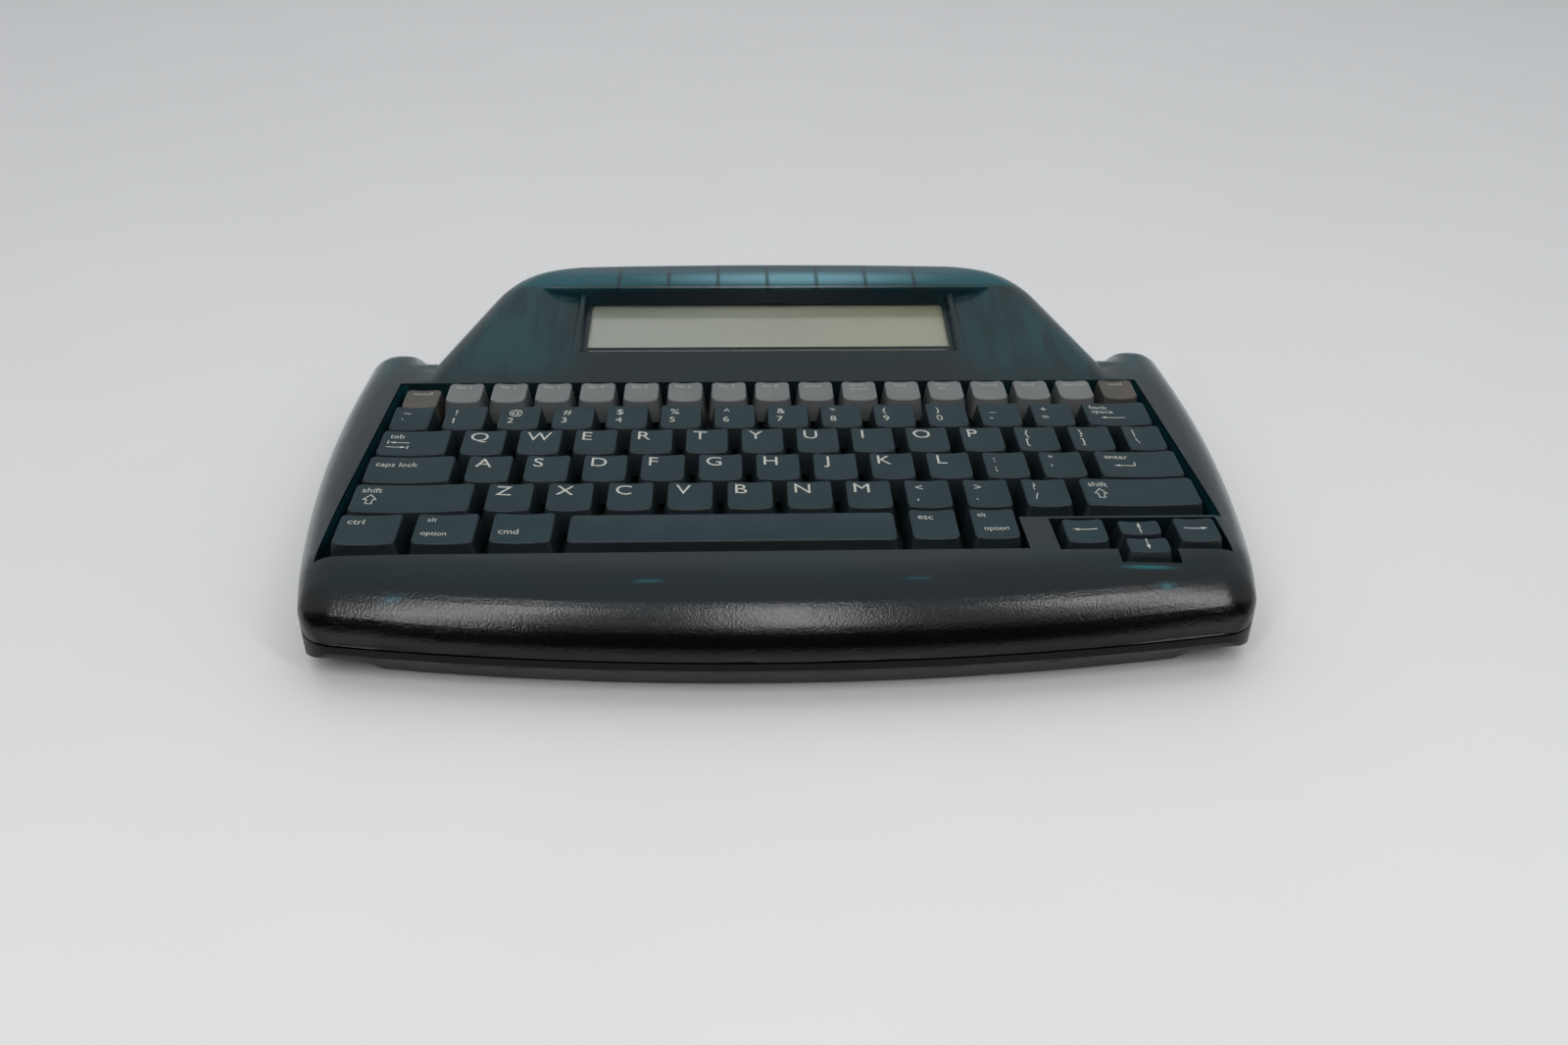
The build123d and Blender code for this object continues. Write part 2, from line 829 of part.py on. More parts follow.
def hull_cutter(centre_x, centre_y, radius, inset):
    """What leaves the underside sloping up to the wall, all along an edge that is an arc in plan."""
    turn_z = parting_z - 3.0
    slope = atan(hull_rise / hull_run)
    shift = inset / sin(slope)
    section = make_face(
        Polyline(
            (radius + 2 * hull_run, base_z - 2 * hull_run),
            (radius + 2 * hull_run, turn_z),
            (radius - inset, turn_z),
            (radius - inset - hull_round * (1 - cos(pi / 4)) / 2, turn_z - hull_round * sin(pi / 4) / 2),
            (radius - shift - hull_run, base_z),
            (radius - shift - hull_run, base_z - 2 * hull_run),
            close=True,
        )
    )
    ring = revolve(Plane.XZ * section, Axis.Z, 360)
    return Pos(centre_x, centre_y, 0) * ring


def arc_radius(chord_half, rise):
    """Radius of an arc from half its chord and its rise."""
    return (chord_half ** 2 + rise ** 2) / (2 * rise)


def foot_pad(x, y, z0, z1, grow):
    """A rubber foot, or the recess for one: an oblong pad with cut corners."""
    half_x = foot_length / 2 + grow
    half_y = foot_width / 2 + grow
    outline = Polyline(*cut_corner_points(-half_x, half_x, -half_y, half_y, foot_cut), close=True)
    return extrude(Pos(x, y, z0) * make_face(outline), z1 - z0)


def screw_well(x, y):
    """The hole for one case screw, with its deep seat for the head."""
    hole = post(x, y, base_z - 1, boss_foot_z, screw_radius + seat_gap)
    return hole + boss(x, y, base_z - 1, screw_seat_z, well_radius)


def under_block(outline, floor_z, from_y):
    """One part of the tub, or of its hollow, with the lowest edge behind from_y cut off at 45 degrees."""
    solid = extrude(Pos(0, 0, floor_z) * outline, parting_z - floor_z)
    boxes = [(edge, edge.bounding_box()) for edge in solid.edges()]
    low = [edge for edge, box in boxes if box.max.Z < floor_z + 0.1 and box.max.Y > from_y]
    return chamfer(low, under_chamfer)


def parting_step():
    """The narrow step left all round the tub's rim, so that the two case halves meet in a shadow line."""
    rim = body_outline(True) + hood_outline()
    body = offset(body_outline(True), -parting_groove, kind=Kind.INTERSECTION)
    hood = offset(hood_outline(), -parting_groove, kind=Kind.INTERSECTION)
    step = extrude(rim, parting_groove) - extrude(body + hood, parting_groove)
    return Pos(0, 0, parting_z - parting_groove) * step


def lower_case():
    """The lower tub: hull-shaped front, battery bay, screw wells and foot recesses."""
    front_radius = arc_radius(front_corner_half, front_bow)
    front_centre_y = front_y + front_radius
    hood_from_y = well_rear_y + hood_lap
    tub = under_block(body_outline(True), base_z, front_y) + under_block(hood_outline(), base_z, hood_from_y)
    tub = tub - hull_cutter(0, front_centre_y, front_radius, 0) - parting_step()
    body_plan = offset(body_outline(False), -wall, kind=Kind.INTERSECTION)
    hood_plan = offset(hood_outline(), -wall, kind=Kind.INTERSECTION)
    cavity = under_block(body_plan, inner_base_z, front_y) + under_block(hood_plan, inner_base_z, hood_from_y)
    tub = tub - (cavity - hull_cutter(0, front_centre_y, front_radius, wall))
    bay = block(
        -bay_half_x - bay_wall,
        bay_half_x + bay_wall,
        bay_front_y - bay_wall,
        bay_rear_y + bay_wall,
        base_z,
        bay_roof_z + bay_wall,
    )
    tub = tub + bay
    tub = tub - block(-bay_half_x, bay_half_x, bay_front_y, bay_rear_y, base_z - 1, bay_roof_z)
    for side in (-1, 1):
        slot_x = side * bay_half_x / 2
        tub = tub - block(
            slot_x - door_hook_width / 2 - door_gap,
            slot_x + door_hook_width / 2 + door_gap,
            bay_front_y - bay_wall - 0.5,
            bay_front_y + 1,
            base_z + door_thick,
            base_z + door_thick + door_hook_slot,
        )
    for x, y in screw_spots:
        tub = tub + boss(x, y, base_z + 1, boss_foot_z - seat_gap, well_radius + boss_wall)
    half = rest_post / 2
    for x, y in rest_posts:
        tub = tub + block(x - half, x + half, y - half, y + half, inner_base_z - 0.5, backplate_z - seat_gap)
    for x, y in board_posts:
        tub = tub + block(x - half, x + half, y - half, y + half, inner_base_z - 0.5, main_board_z)
    for x, y in screw_spots:
        tub = tub - screw_well(x, y)
    for x, y in foot_spots:
        tub = tub - foot_pad(x, y, base_z - 1, base_z + foot_recess, foot_fit)
    return tub - port_holes()


foot_places = [
    (case_half - front_foot_inset, front_y + foot_setback),
    (case_half - rear_foot_inset, rear_y - foot_setback),
]
foot_spots = foot_places + [(-x, y) for x, y in foot_places]
post_far_x = well_half * 0.79
post_row_y = main_board_front_y + 10
rest_posts = [(x, y) for x in (-post_far_x, 0.0, post_far_x) for y in (well_front_y + 28, well_rear_y - 19)]
board_posts = [(x, post_row_y) for x in (-post_far_x, -post_far_x / 2, post_far_x / 2, post_far_x)]
export_step(lower_case(), "parts/lower_case.step")

# ---- Battery door, cells and contacts -----------------------------------------------------------


def battery_door():
    """A flush door that swings on its half-round front edge, with two hooks that hold that edge in."""
    edge_round = door_thick / 2
    edge_y = bay_front_y + door_gap + edge_round
    door = block(
        -bay_half_x + door_gap,
        bay_half_x - door_gap,
        edge_y,
        bay_rear_y - door_gap,
        base_z,
        base_z + door_thick,
    )
    edge = Rot(0, 90, 0) * Cylinder(edge_round, 2 * (bay_half_x - door_gap))
    door = door + Pos(0, edge_y, base_z + edge_round) * edge
    for side in (-1, 1):
        hook_x = side * bay_half_x / 2
        low = base_z + door_thick
        door = door + block(
            hook_x - door_hook_width / 2,
            hook_x + door_hook_width / 2,
            bay_front_y - bay_wall + 2 * door_gap,
            bay_front_y + door_hook,
            low,
            low + door_hook_thick,
        )
    grips = []
    for index in range(grip_count):
        y = bay_rear_y - 8 - index * grip_pitch
        half = grip_width / 2
        grips.append(block(-half, half, y, y + grip_pitch / 2, base_z - 0.1, base_z + grip_depth))
    return door - grips


export_step(battery_door(), "parts/battery_door.step")

cells = []
contacts = []
for index in range(cell_count):
    y = bay_centre_y + (index - (cell_count - 1) / 2) * cell_pitch
    way = 1 if index % 2 == 0 else -1
    body = Rot(0, 90, 0) * Cylinder(cell_diameter / 2, cell_length)
    nub_x = way * (cell_length + cell_nub) / 2
    nub = Pos(nub_x, 0, 0) * Box(cell_nub, cell_nub_width, cell_nub_width)
    cells.append(Pos(0, y, cell_axis_z) * (body + nub))
    plus_x = way * (cell_length / 2 + cell_nub)
    minus_x = -way * cell_length / 2
    for tip, side in ((plus_x, way), (minus_x, -way)):
        wall_x = side * bay_half_x
        leaf = Polyline(
            (wall_x, contact_reach),
            (wall_x, -contact_reach),
            (wall_x - side * contact_thick, -contact_reach),
            (tip + side * contact_thick, contact_drop - contact_tip),
            (tip, contact_drop),
            (tip + side * contact_thick, contact_drop + contact_tip),
            (wall_x - side * contact_thick, contact_reach),
            close=True,
        )
        solid = extrude(Plane.XZ * make_face(leaf), contact_width / 2, both=True)
        contacts.append(Pos(0, y, cell_axis_z - contact_drop) * solid)
export_step(Compound(children=cells), "parts/battery_cells.step")
export_step(Compound(children=contacts), "parts/battery_contacts.step")

# ---- Circuit boards and sockets -----------------------------------------------------------------

hood_board_half = case_half - hood_board_inset
bay_clear_x = bay_half_x + bay_wall + board_clear
board_rear_y = rear_y - board_rear_margin
pod_board_y = pod_rear_y - wall - board_clear
board_shoulder_y = pod_notch_y - 2 * board_pod_margin
board_wing_y = board_rear_y - 14
strip_rear_y = bay_front_y - bay_wall - board_clear
usb_wing_x = hood_board_half - 24
usb_wing_y = board_rear_y + 12
main_outline = Polyline(
    (-main_board_half, main_board_front_y),
    (main_board_half, main_board_front_y),
    (main_board_half, pod_board_y),
    (main_board_pod_inner, pod_board_y),
    (main_board_pod_inner, board_shoulder_y),
    (hood_board_half + 8, board_shoulder_y),
    (hood_board_half - 10, board_wing_y),
    (usb_wing_x, board_wing_y),
    (usb_wing_x, usb_wing_y),
    (bay_clear_x + 8, usb_wing_y),
    (bay_clear_x, board_rear_y),
    (bay_clear_x, strip_rear_y),
    (-bay_clear_x, strip_rear_y),
    (-bay_clear_x, board_wing_y),
    (10 - hood_board_half, board_wing_y),
    (-hood_board_half - 8, board_shoulder_y),
    (-main_board_pod_inner, board_shoulder_y),
    (-main_board_pod_inner, pod_board_y),
    (-main_board_half, pod_board_y),
    close=True,
)


def boss_room(x, y):
    """A square hole that clears a screw boss."""
    half = well_radius + boss_wall + board_clear
    return block(x - half, x + half, y - half, y + half, main_board_z - 1, main_board_top_z + 1)


main_board = extrude(Pos(0, 0, main_board_z) * make_face(main_outline), board_thick)
for x, y in screw_spots:
    main_board = main_board - boss_room(x, y)
export_step(main_board, "parts/main_board.step")

board_middle_y = (main_board_front_y + board_rear_y) / 2
chip_places = [
    ("processor", 53.0, board_middle_y + 9, 18.0, 18.0, 2.4),
    ("clock", 73.0, board_middle_y, 14.0, 8.0, 2.0),
    ("memory", -55.0, board_middle_y + 2, 18.0, 12.0, 2.4),
    ("power controller", 9.0, main_board_front_y + 11, 14.0, 10.0, 2.0),
]
chips = []
for use, x, y, width, depth, height in chip_places:
    body = Box(width, depth, height, align=(Align.CENTER, Align.CENTER, Align.MIN))
    chips.append(Pos(x, y, main_board_top_z) * body)
export_step(Compound(children=chips), "parts/board_chips.step")
coin = Cylinder(coin_radius, coin_height, align=(Align.CENTER, Align.CENTER, Align.MIN))
export_step(Pos(coin_x, board_middle_y + 2, main_board_top_z) * coin, "parts/backup_coin_cell.step")


def round_socket(x):
    """A round multi-pin socket, its ring slot facing the rear of the pod."""
    half = socket_size / 2
    face_y = pod_rear_y - socket_setback
    top_z = main_board_top_z + socket_size
    body = block(x - half, x + half, face_y - socket_size, face_y, main_board_top_z, top_z)
    slot = Cylinder(socket_ring / 2, 2 * socket_slot_depth) - Cylinder(socket_core / 2, 2 * socket_slot_depth)
    return body - Pos(x, face_y, socket_axis_z) * Rot(90, 0, 0) * slot


export_step(Compound(children=[round_socket(-socket_x), round_socket(socket_x)]), "parts/round_sockets.step")
usb_face_y = rear_y - wall - usb_setback
usb = block(
    usb_x - usb_width / 2,
    usb_x + usb_width / 2,
    usb_face_y - usb_length,
    usb_face_y,
    main_board_top_z,
    main_board_top_z + usb_height,
)
usb_mouth = block(
    usb_x - usb_width / 2 + usb_rim,
    usb_x + usb_width / 2 - usb_rim,
    usb_face_y - usb_mouth_depth,
    usb_face_y + 1,
    main_board_top_z + usb_rim,
    main_board_top_z + usb_height - usb_rim,
)
usb_tongue = block(
    usb_x - usb_tongue_width / 2,
    usb_x + usb_tongue_width / 2,
    usb_face_y - usb_mouth_depth - 1,
    usb_face_y - 1,
    main_board_top_z + usb_height * 0.36,
    main_board_top_z + usb_height * 0.64,
)
export_step(usb - usb_mouth + usb_tongue, "parts/usb_socket.step")

# ---- Display ------------------------------------------------------------------------------------


def tilted(width, length, top, bottom):
    """A slab parallel to the display, between two depths under the recess floor."""
    slab = Pos(0, 0, (top + bottom) / 2) * Box(width, length, top - bottom)
    return display_plane.location * slab


lens_top = -floor_thick
lens_bottom = lens_top - lens_thick
panel_width = window_width + 2 * panel_lap
panel_length = window_length + 2 * panel_lap
export_step(
    tilted(window_width + 2 * lens_lap, window_length + 2 * lens_lap, lens_top, lens_bottom),
    "parts/display_window.step",
)
bezel_outer = tilted(
    panel_width + 2 * bezel_thick, panel_length + 2 * bezel_thick, lens_bottom, lens_bottom - module_depth
)
bezel_window = tilted(window_width + 2 * bezel_lap, window_length + 2 * bezel_lap, lens_bottom + 1, -20)
bezel_room = tilted(panel_width, panel_length, lens_bottom - bezel_thick, lens_bottom - module_depth - 1)
export_step(bezel_outer - bezel_window - bezel_room, "parts/display_bezel.step")
panel_top = lens_bottom - bezel_thick
export_step(tilted(panel_width, panel_length, panel_top, panel_top - panel_thick), "parts/display_panel.step")
display_board_top = lens_bottom - module_depth
board_width = panel_width + 2 * board_lap
board_length = panel_length + 2 * board_lap
export_step(
    tilted(board_width, board_length, display_board_top, display_board_top - board_thick),
    "parts/display_board.step",
)

# ---- Flat cables inside -------------------------------------------------------------------------


def flat_cable(x, width, path):
    """A flat flexible cable: a thin strip of constant thickness that follows a path seen from the side."""
    top = [(y, z) for y, z in path]
    under = [(y, z - cable_thick) for y, z in reversed(path)]
    strip = extrude(Plane.YZ * make_face(Polyline(*top, *under, close=True)), width / 2, both=True)
    return Pos(x, 0, 0) * strip


landing_z = main_board_top_z + cable_thick
membrane_mid_z = membrane_z + (membrane_thick + cable_thick) / 2
keyboard_path = [
    (stack_rear_y, membrane_mid_z),
    (stack_rear_y + 3, membrane_mid_z),
    (main_board_front_y + 5, landing_z),
    (main_board_front_y + 5 + cable_landing, landing_z),
]
export_step(flat_cable(keyboard_cable_x, keyboard_cable_width, keyboard_path), "parts/keyboard_cable.step")

board_underside = display_plane.location * Pos(
    0, -(panel_length / 2 + board_lap), display_board_top - board_thick
)
edge_y = board_underside.position.Y
edge_z = board_underside.position.Z
cable_top_z = edge_z + (cable_reach - cable_thick) * tan(hood_slope) - seat_gap
display_strip = block(
    display_cable_x - display_cable_width / 2,
    display_cable_x + display_cable_width / 2,
    edge_y + cable_reach - cable_thick,
    edge_y + cable_reach,
    main_board_top_z,
    cable_top_z,
)
display_foot = block(
    display_cable_x - display_cable_width / 2,
    display_cable_x + display_cable_width / 2,
    edge_y + cable_reach - cable_landing,
    edge_y + cable_reach,
    main_board_top_z,
    landing_z,
)
export_step(display_strip + display_foot, "parts/display_cable.step")

# ---- Fasteners and feet -------------------------------------------------------------------------

feet = [foot_pad(x, y, 0, base_z + foot_recess, 0) for x, y in foot_spots]
export_step(Compound(children=feet), "parts/rubber_feet.step")
screws = []
for x, y in screw_spots:
    head_z = base_z + screw_head_depth
    shank = post(x, y, head_z, head_z + screw_head_height + screw_length, screw_radius)
    screws.append(shank + post(x, y, head_z, head_z + screw_head_height, screw_head_radius))
export_step(Compound(children=screws), "parts/case_screws.step")
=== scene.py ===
"""A portable word processor in smoked plastic, dressed over its solid model on a pale table."""
import math

import bmesh
import bpy
from mathutils import Matrix, Vector


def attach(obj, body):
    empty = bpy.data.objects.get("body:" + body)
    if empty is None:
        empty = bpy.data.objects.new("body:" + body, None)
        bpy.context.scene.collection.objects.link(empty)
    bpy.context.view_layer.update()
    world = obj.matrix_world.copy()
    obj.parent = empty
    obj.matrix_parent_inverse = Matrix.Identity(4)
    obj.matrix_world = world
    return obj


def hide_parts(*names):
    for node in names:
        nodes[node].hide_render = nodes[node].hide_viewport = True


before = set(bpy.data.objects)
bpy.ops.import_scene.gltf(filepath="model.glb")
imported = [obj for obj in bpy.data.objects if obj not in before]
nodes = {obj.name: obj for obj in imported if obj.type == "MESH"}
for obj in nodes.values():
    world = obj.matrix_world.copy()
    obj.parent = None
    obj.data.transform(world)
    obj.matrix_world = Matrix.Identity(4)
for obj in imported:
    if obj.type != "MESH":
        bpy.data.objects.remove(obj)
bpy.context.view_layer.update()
MM = 0.001

# ---- Table, light and camera --------------------------------------------------------------------
# A matt white table in a small white tent. Three tall lamps stand in a row above the tent's dark
# opening at the front, and a wide soft one hangs behind.


def shader_node(tree, kind, **values):
    """A new shader node, with its settings and the values of its inputs."""
    made = tree.nodes.new("ShaderNode" + kind)
    for name, value in values.items():
        if hasattr(made, name):
            setattr(made, name, value)
        else:
            made.inputs[name.replace("_", " ")].default_value = value
    return made


def new_material(name):
    """An empty material with its shader and output: (material, tree, shader)."""
    material = bpy.data.materials.new(name)
    material.use_nodes = True
    tree = material.node_tree
    tree.nodes.clear()
    shader = tree.nodes.new("ShaderNodeBsdfPrincipled")
    output = tree.nodes.new("ShaderNodeOutputMaterial")
    tree.links.new(shader.outputs["BSDF"], output.inputs["Surface"])
    return material, tree, shader


def place_mesh(name, mesh):
    """A new object at the origin that shows this mesh."""
    made = bpy.data.objects.new(name, mesh)
    bpy.context.scene.collection.objects.link(made)
    return made


TABLE_HALF = 4.0
TABLE_LOW, TABLE_HIGH = (0.74, 0.74, 0.742, 1), (0.79, 0.79, 0.79, 1)
table_bm = bmesh.new()
bmesh.ops.create_grid(table_bm, x_segments=1, y_segments=1, size=TABLE_HALF)
table_mesh = bpy.data.meshes.new("table")
table_bm.to_mesh(table_mesh)
table_bm.free()
table = place_mesh("table", table_mesh)
table_paint, tree, shader = new_material("matt_white_table")
spot = shader_node(tree, "TexCoord")
smudge = shader_node(tree, "TexNoise", Scale=7.0, Detail=5.0, Roughness=0.6)
tone = shader_node(tree, "ValToRGB")
tone.color_ramp.elements[0].color = TABLE_LOW
tone.color_ramp.elements[1].color = TABLE_HIGH
tree.links.new(spot.outputs["Object"], smudge.inputs["Vector"])
tree.links.new(smudge.outputs["Fac"], tone.inputs["Fac"])
tree.links.new(tone.outputs["Color"], shader.inputs["Base Color"])
shader.inputs["Roughness"].default_value = 0.6
table.data.materials.append(table_paint)


def mix_colour(tree, mask, below, above):
    """Blends two colours or colour sockets by a mask."""
    mix = tree.nodes.new("ShaderNodeMix")
    mix.data_type = "RGBA"
    tree.links.new(mask, mix.inputs["Factor"])
    for socket, value in ((mix.inputs[6], below), (mix.inputs[7], above)):
        if isinstance(value, tuple):
            socket.default_value = (*value, 1)
        else:
            tree.links.new(value, socket)
    return mix.outputs[2]


def maths(tree, operation, first, second=0.0):
    """One step of arithmetic on values or sockets."""
    step = tree.nodes.new("ShaderNodeMath")
    step.operation = operation
    for socket, value in zip(step.inputs, (first, second)):
        if isinstance(value, (int, float)):
            socket.default_value = value
        else:
            tree.links.new(value, socket)
    return step.outputs[0]


def both(tree, first, second):
    """Where two masks hold together."""
    return maths(tree, "MULTIPLY", first, second)


def away(tree, mask):
    """Where a mask doesn't hold."""
    return maths(tree, "SUBTRACT", 1.0, mask)


def ramp(tree, value, low, high):
    """A smooth mask from 0 at one value to 1 at another."""
    step = tree.nodes.new("ShaderNodeMapRange")
    step.interpolation_type = "SMOOTHSTEP"
    step.inputs["From Min"].default_value = low
    step.inputs["From Max"].default_value = high
    tree.links.new(value, step.inputs["Value"])
    return step.outputs["Result"]


REAR_CLOTH, FRONT_CLOTH = (0.44, 0.455, 0.47), (0.50, 0.525, 0.55)
OPENING_SHADE = (0.008, 0.009, 0.010)
OPENING_TOP = math.radians(33)
tent = bpy.data.worlds.new("tent")
tent.use_nodes = True
tree = tent.node_tree
way = shader_node(tree, "TexCoord")
parts = shader_node(tree, "SeparateXYZ")
tree.links.new(way.outputs["Generated"], parts.inputs["Vector"])
opening = shader_node(tree, "VectorMath", operation="DOT_PRODUCT")
opening.inputs[1].default_value = (0, -math.sin(OPENING_TOP), -math.cos(OPENING_TOP))
tree.links.new(way.outputs["Generated"], opening.inputs[0])
curtain = ramp(tree, maths(tree, "MULTIPLY", parts.outputs["Y"], -1.0), 0.15, 0.45)
cloth = mix_colour(tree, curtain, REAR_CLOTH, FRONT_CLOTH)
cloth = mix_colour(tree, ramp(tree, opening.outputs["Value"], -0.05, 0.03), cloth, OPENING_SHADE)
tree.links.new(cloth, tree.nodes["Background"].inputs["Color"])
tree.nodes["Background"].inputs["Strength"].default_value = 1.0
bpy.context.scene.world = tent
bpy.context.scene.view_settings.view_transform = "Standard"


def light_panel(name, place, aim, width, depth, watts):
    """A soft rectangular lamp at one point, turned to face another."""
    lamp = bpy.data.lights.new(name, "AREA")
    lamp.shape = "RECTANGLE"
    lamp.size = width
    lamp.size_y = depth
    lamp.energy = watts
    made = bpy.data.objects.new(name, lamp)
    bpy.context.scene.collection.objects.link(made)
    made.location = place
    made.rotation_euler = (Vector(aim) - Vector(place)).to_track_quat("-Z", "Y").to_euler()


PALM_LEFT, PALM_MIDDLE, PALM_RIGHT = (-0.08, -0.11, 0.03), (0, -0.11, 0.03), (0.09, -0.11, 0.03)
light_panel("lamp_left", (-0.505, -0.787, 0.78), PALM_LEFT, 0.09, 0.78, 2.35)
light_panel("lamp_middle", (0.045, -0.76, 0.88), PALM_MIDDLE, 0.13, 0.60, 1.85)
light_panel("lamp_right", (0.69, -0.771, 0.777), PALM_RIGHT, 0.10, 0.78, 2.6)
light_panel("roof_glow", (0.0, 0.85, 1.7), (0, 0.3, 0), 2.2, 2.2, 10.5)
bpy.data.objects["roof_glow"].visible_glossy = False

LENS, SENSOR = 29.8, 36.0
CAMERA_PLACE = (-0.0136, -0.4212, 0.2396)
YAW, PITCH_DOWN, ROLL = math.radians(2.42), math.radians(30.78), math.radians(0.70)
camera_data = bpy.data.cameras.new("camera")
camera_data.lens = LENS
camera_data.sensor_width = SENSOR
camera_data.clip_start = 0.01
camera = bpy.data.objects.new("camera", camera_data)
bpy.context.scene.collection.objects.link(camera)
across = math.cos(PITCH_DOWN)
ahead = Vector((math.sin(YAW) * across, math.cos(YAW) * across, -math.sin(PITCH_DOWN)))
level = Vector((math.cos(YAW), -math.sin(YAW), 0))
upright = level.cross(ahead)
right = math.cos(ROLL) * level + math.sin(ROLL) * upright
up = right.cross(ahead)
camera.location = CAMERA_PLACE
camera.rotation_euler = Matrix((right, up, -ahead)).transposed().to_euler()
bpy.context.scene.camera = camera

# ---- Lower case ---------------------------------------------------------------------------------
# The tub: smoked polycarbonate, injection moulded, with a fine sandblasted grain. Its front wall
# leans in under a thin lip, and four screws from below hold it to the upper shell.

CASE_CREASE = math.radians(32)


def smooth_copy(name, node, reshape=None):
    """A copy of a solid's skin with its corners joined and its curves shaded smooth."""
    bm = bmesh.new()
    bm.from_mesh(nodes[node].data)
    bmesh.ops.remove_doubles(bm, verts=bm.verts, dist=1e-6)
    if reshape:
        reshape(bm)
        bmesh.ops.dissolve_degenerate(bm, dist=1e-5, edges=bm.edges[:])
    for face in bm.faces:
        face.smooth = True
    for edge in bm.edges:
        edge.smooth = edge.is_manifold and edge.calc_face_angle(0) < CASE_CREASE
    mesh = bpy.data.meshes.new(name)
    bm.to_mesh(mesh)
    bm.free()
    made = place_mesh(name, mesh)
    weighted = made.modifiers.new("even_normals", "WEIGHTED_NORMAL")
    weighted.keep_sharp = True
    weighted.weight = 90
    return made


def grain_group():
    """Fine moulded texture: a normal, and a mask that varies the gloss from place to place."""
    group = bpy.data.node_groups.new("moulded_grain", "ShaderNodeTree")
    face = group.interface
    face.new_socket("Size", in_out="INPUT", socket_type="NodeSocketFloat")
    face.new_socket("Depth", in_out="INPUT", socket_type="NodeSocketFloat")
    face.new_socket("Normal", in_out="OUTPUT", socket_type="NodeSocketVector")
    face.new_socket("Gloss", in_out="OUTPUT", socket_type="NodeSocketFloat")
    given = group.nodes.new("NodeGroupInput")
    made = group.nodes.new("NodeGroupOutput")
    spot = shader_node(group, "TexCoord")
    pits = shader_node(group, "TexNoise", Detail=2.0, Roughness=0.6)
    bump = shader_node(group, "Bump", Distance=0.0001)
    wipe = shader_node(group, "TexNoise", Scale=42.0, Detail=4.0, Roughness=0.65)
    group.links.new(spot.outputs["Object"], pits.inputs["Vector"])
    group.links.new(spot.outputs["Object"], wipe.inputs["Vector"])
    group.links.new(given.outputs["Size"], pits.inputs["Scale"])
    group.links.new(given.outputs["Depth"], bump.inputs["Strength"])
    group.links.new(pits.outputs["Fac"], bump.inputs["Height"])
    group.links.new(bump.outputs["Normal"], made.inputs["Normal"])
    group.links.new(wipe.outputs["Fac"], made.inputs["Gloss"])
    return group


moulded_grain = grain_group()


def use_grain(tree, shader, size, depth, smooth, rough):
    """Puts the moulded grain on a material and gives back its roughness, between two values."""
    grain = tree.nodes.new("ShaderNodeGroup")
    grain.node_tree = moulded_grain
    grain.inputs["Size"].default_value = size
    grain.inputs["Depth"].default_value = depth
    spread = shader_node(tree, "MapRange", To_Min=smooth, To_Max=rough, From_Min=0.3, From_Max=0.7)
    tree.links.new(grain.outputs["Gloss"], spread.inputs["Value"])
    tree.links.new(spread.outputs["Result"], shader.inputs["Roughness"])
    tree.links.new(grain.outputs["Normal"], shader.inputs["Normal"])
    return spread.outputs["Result"]


SMOKE = (0.0040, 0.0140, 0.0180)
BROWN = (0.0075, 0.0100, 0.0118)
NOSE_SHADE_BLACK = (0.0010, 0.0016, 0.0020)
GLOW_TEAL = (0.0040, 0.0430, 0.0490)
UNDERSIDE_SHADE_TEAL = (0.0015, 0.0085, 0.0090)
CREST_GLOW_TEAL, CREST_GLOW_BRIGHT = (0.002, 0.072, 0.090), (0.150, 0.340, 0.410)
WELL_RIM_GLOW = (0.008, 0.080, 0.096)
PATCH_HEIGHT = 0.012


def streaks(tree, spot, scale, stretch, low, high):
    """A mask of soft streaks: clouds drawn out along one axis."""
    squeeze = shader_node(tree, "Mapping")
    squeeze.inputs["Scale"].default_value = stretch
    cloud = shader_node(tree, "TexNoise", Scale=scale, Detail=3.0, Roughness=0.55, Distortion=0.3)
    tree.links.new(spot, squeeze.inputs["Vector"])
    tree.links.new(squeeze.outputs["Vector"], cloud.inputs["Vector"])
    return ramp(tree, cloud.outputs["Fac"], low, high)


def patch(tree, spot, place, reach, depth):
    """A soft oval mask round one place, wider than it is deep."""
    centre = shader_node(tree, "Mapping")
    spans = (reach, depth, PATCH_HEIGHT)
    centre.inputs["Location"].default_value = [-at / span for at, span in zip(place, spans)]
    centre.inputs["Scale"].default_value = [1 / span for span in spans]
    gap = shader_node(tree, "VectorMath", operation="LENGTH")
    tree.links.new(spot, centre.inputs["Vector"])
    tree.links.new(centre.outputs["Vector"], gap.inputs[0])
    return away(tree, ramp(tree, gap.outputs["Value"], 0.15, 1.0))


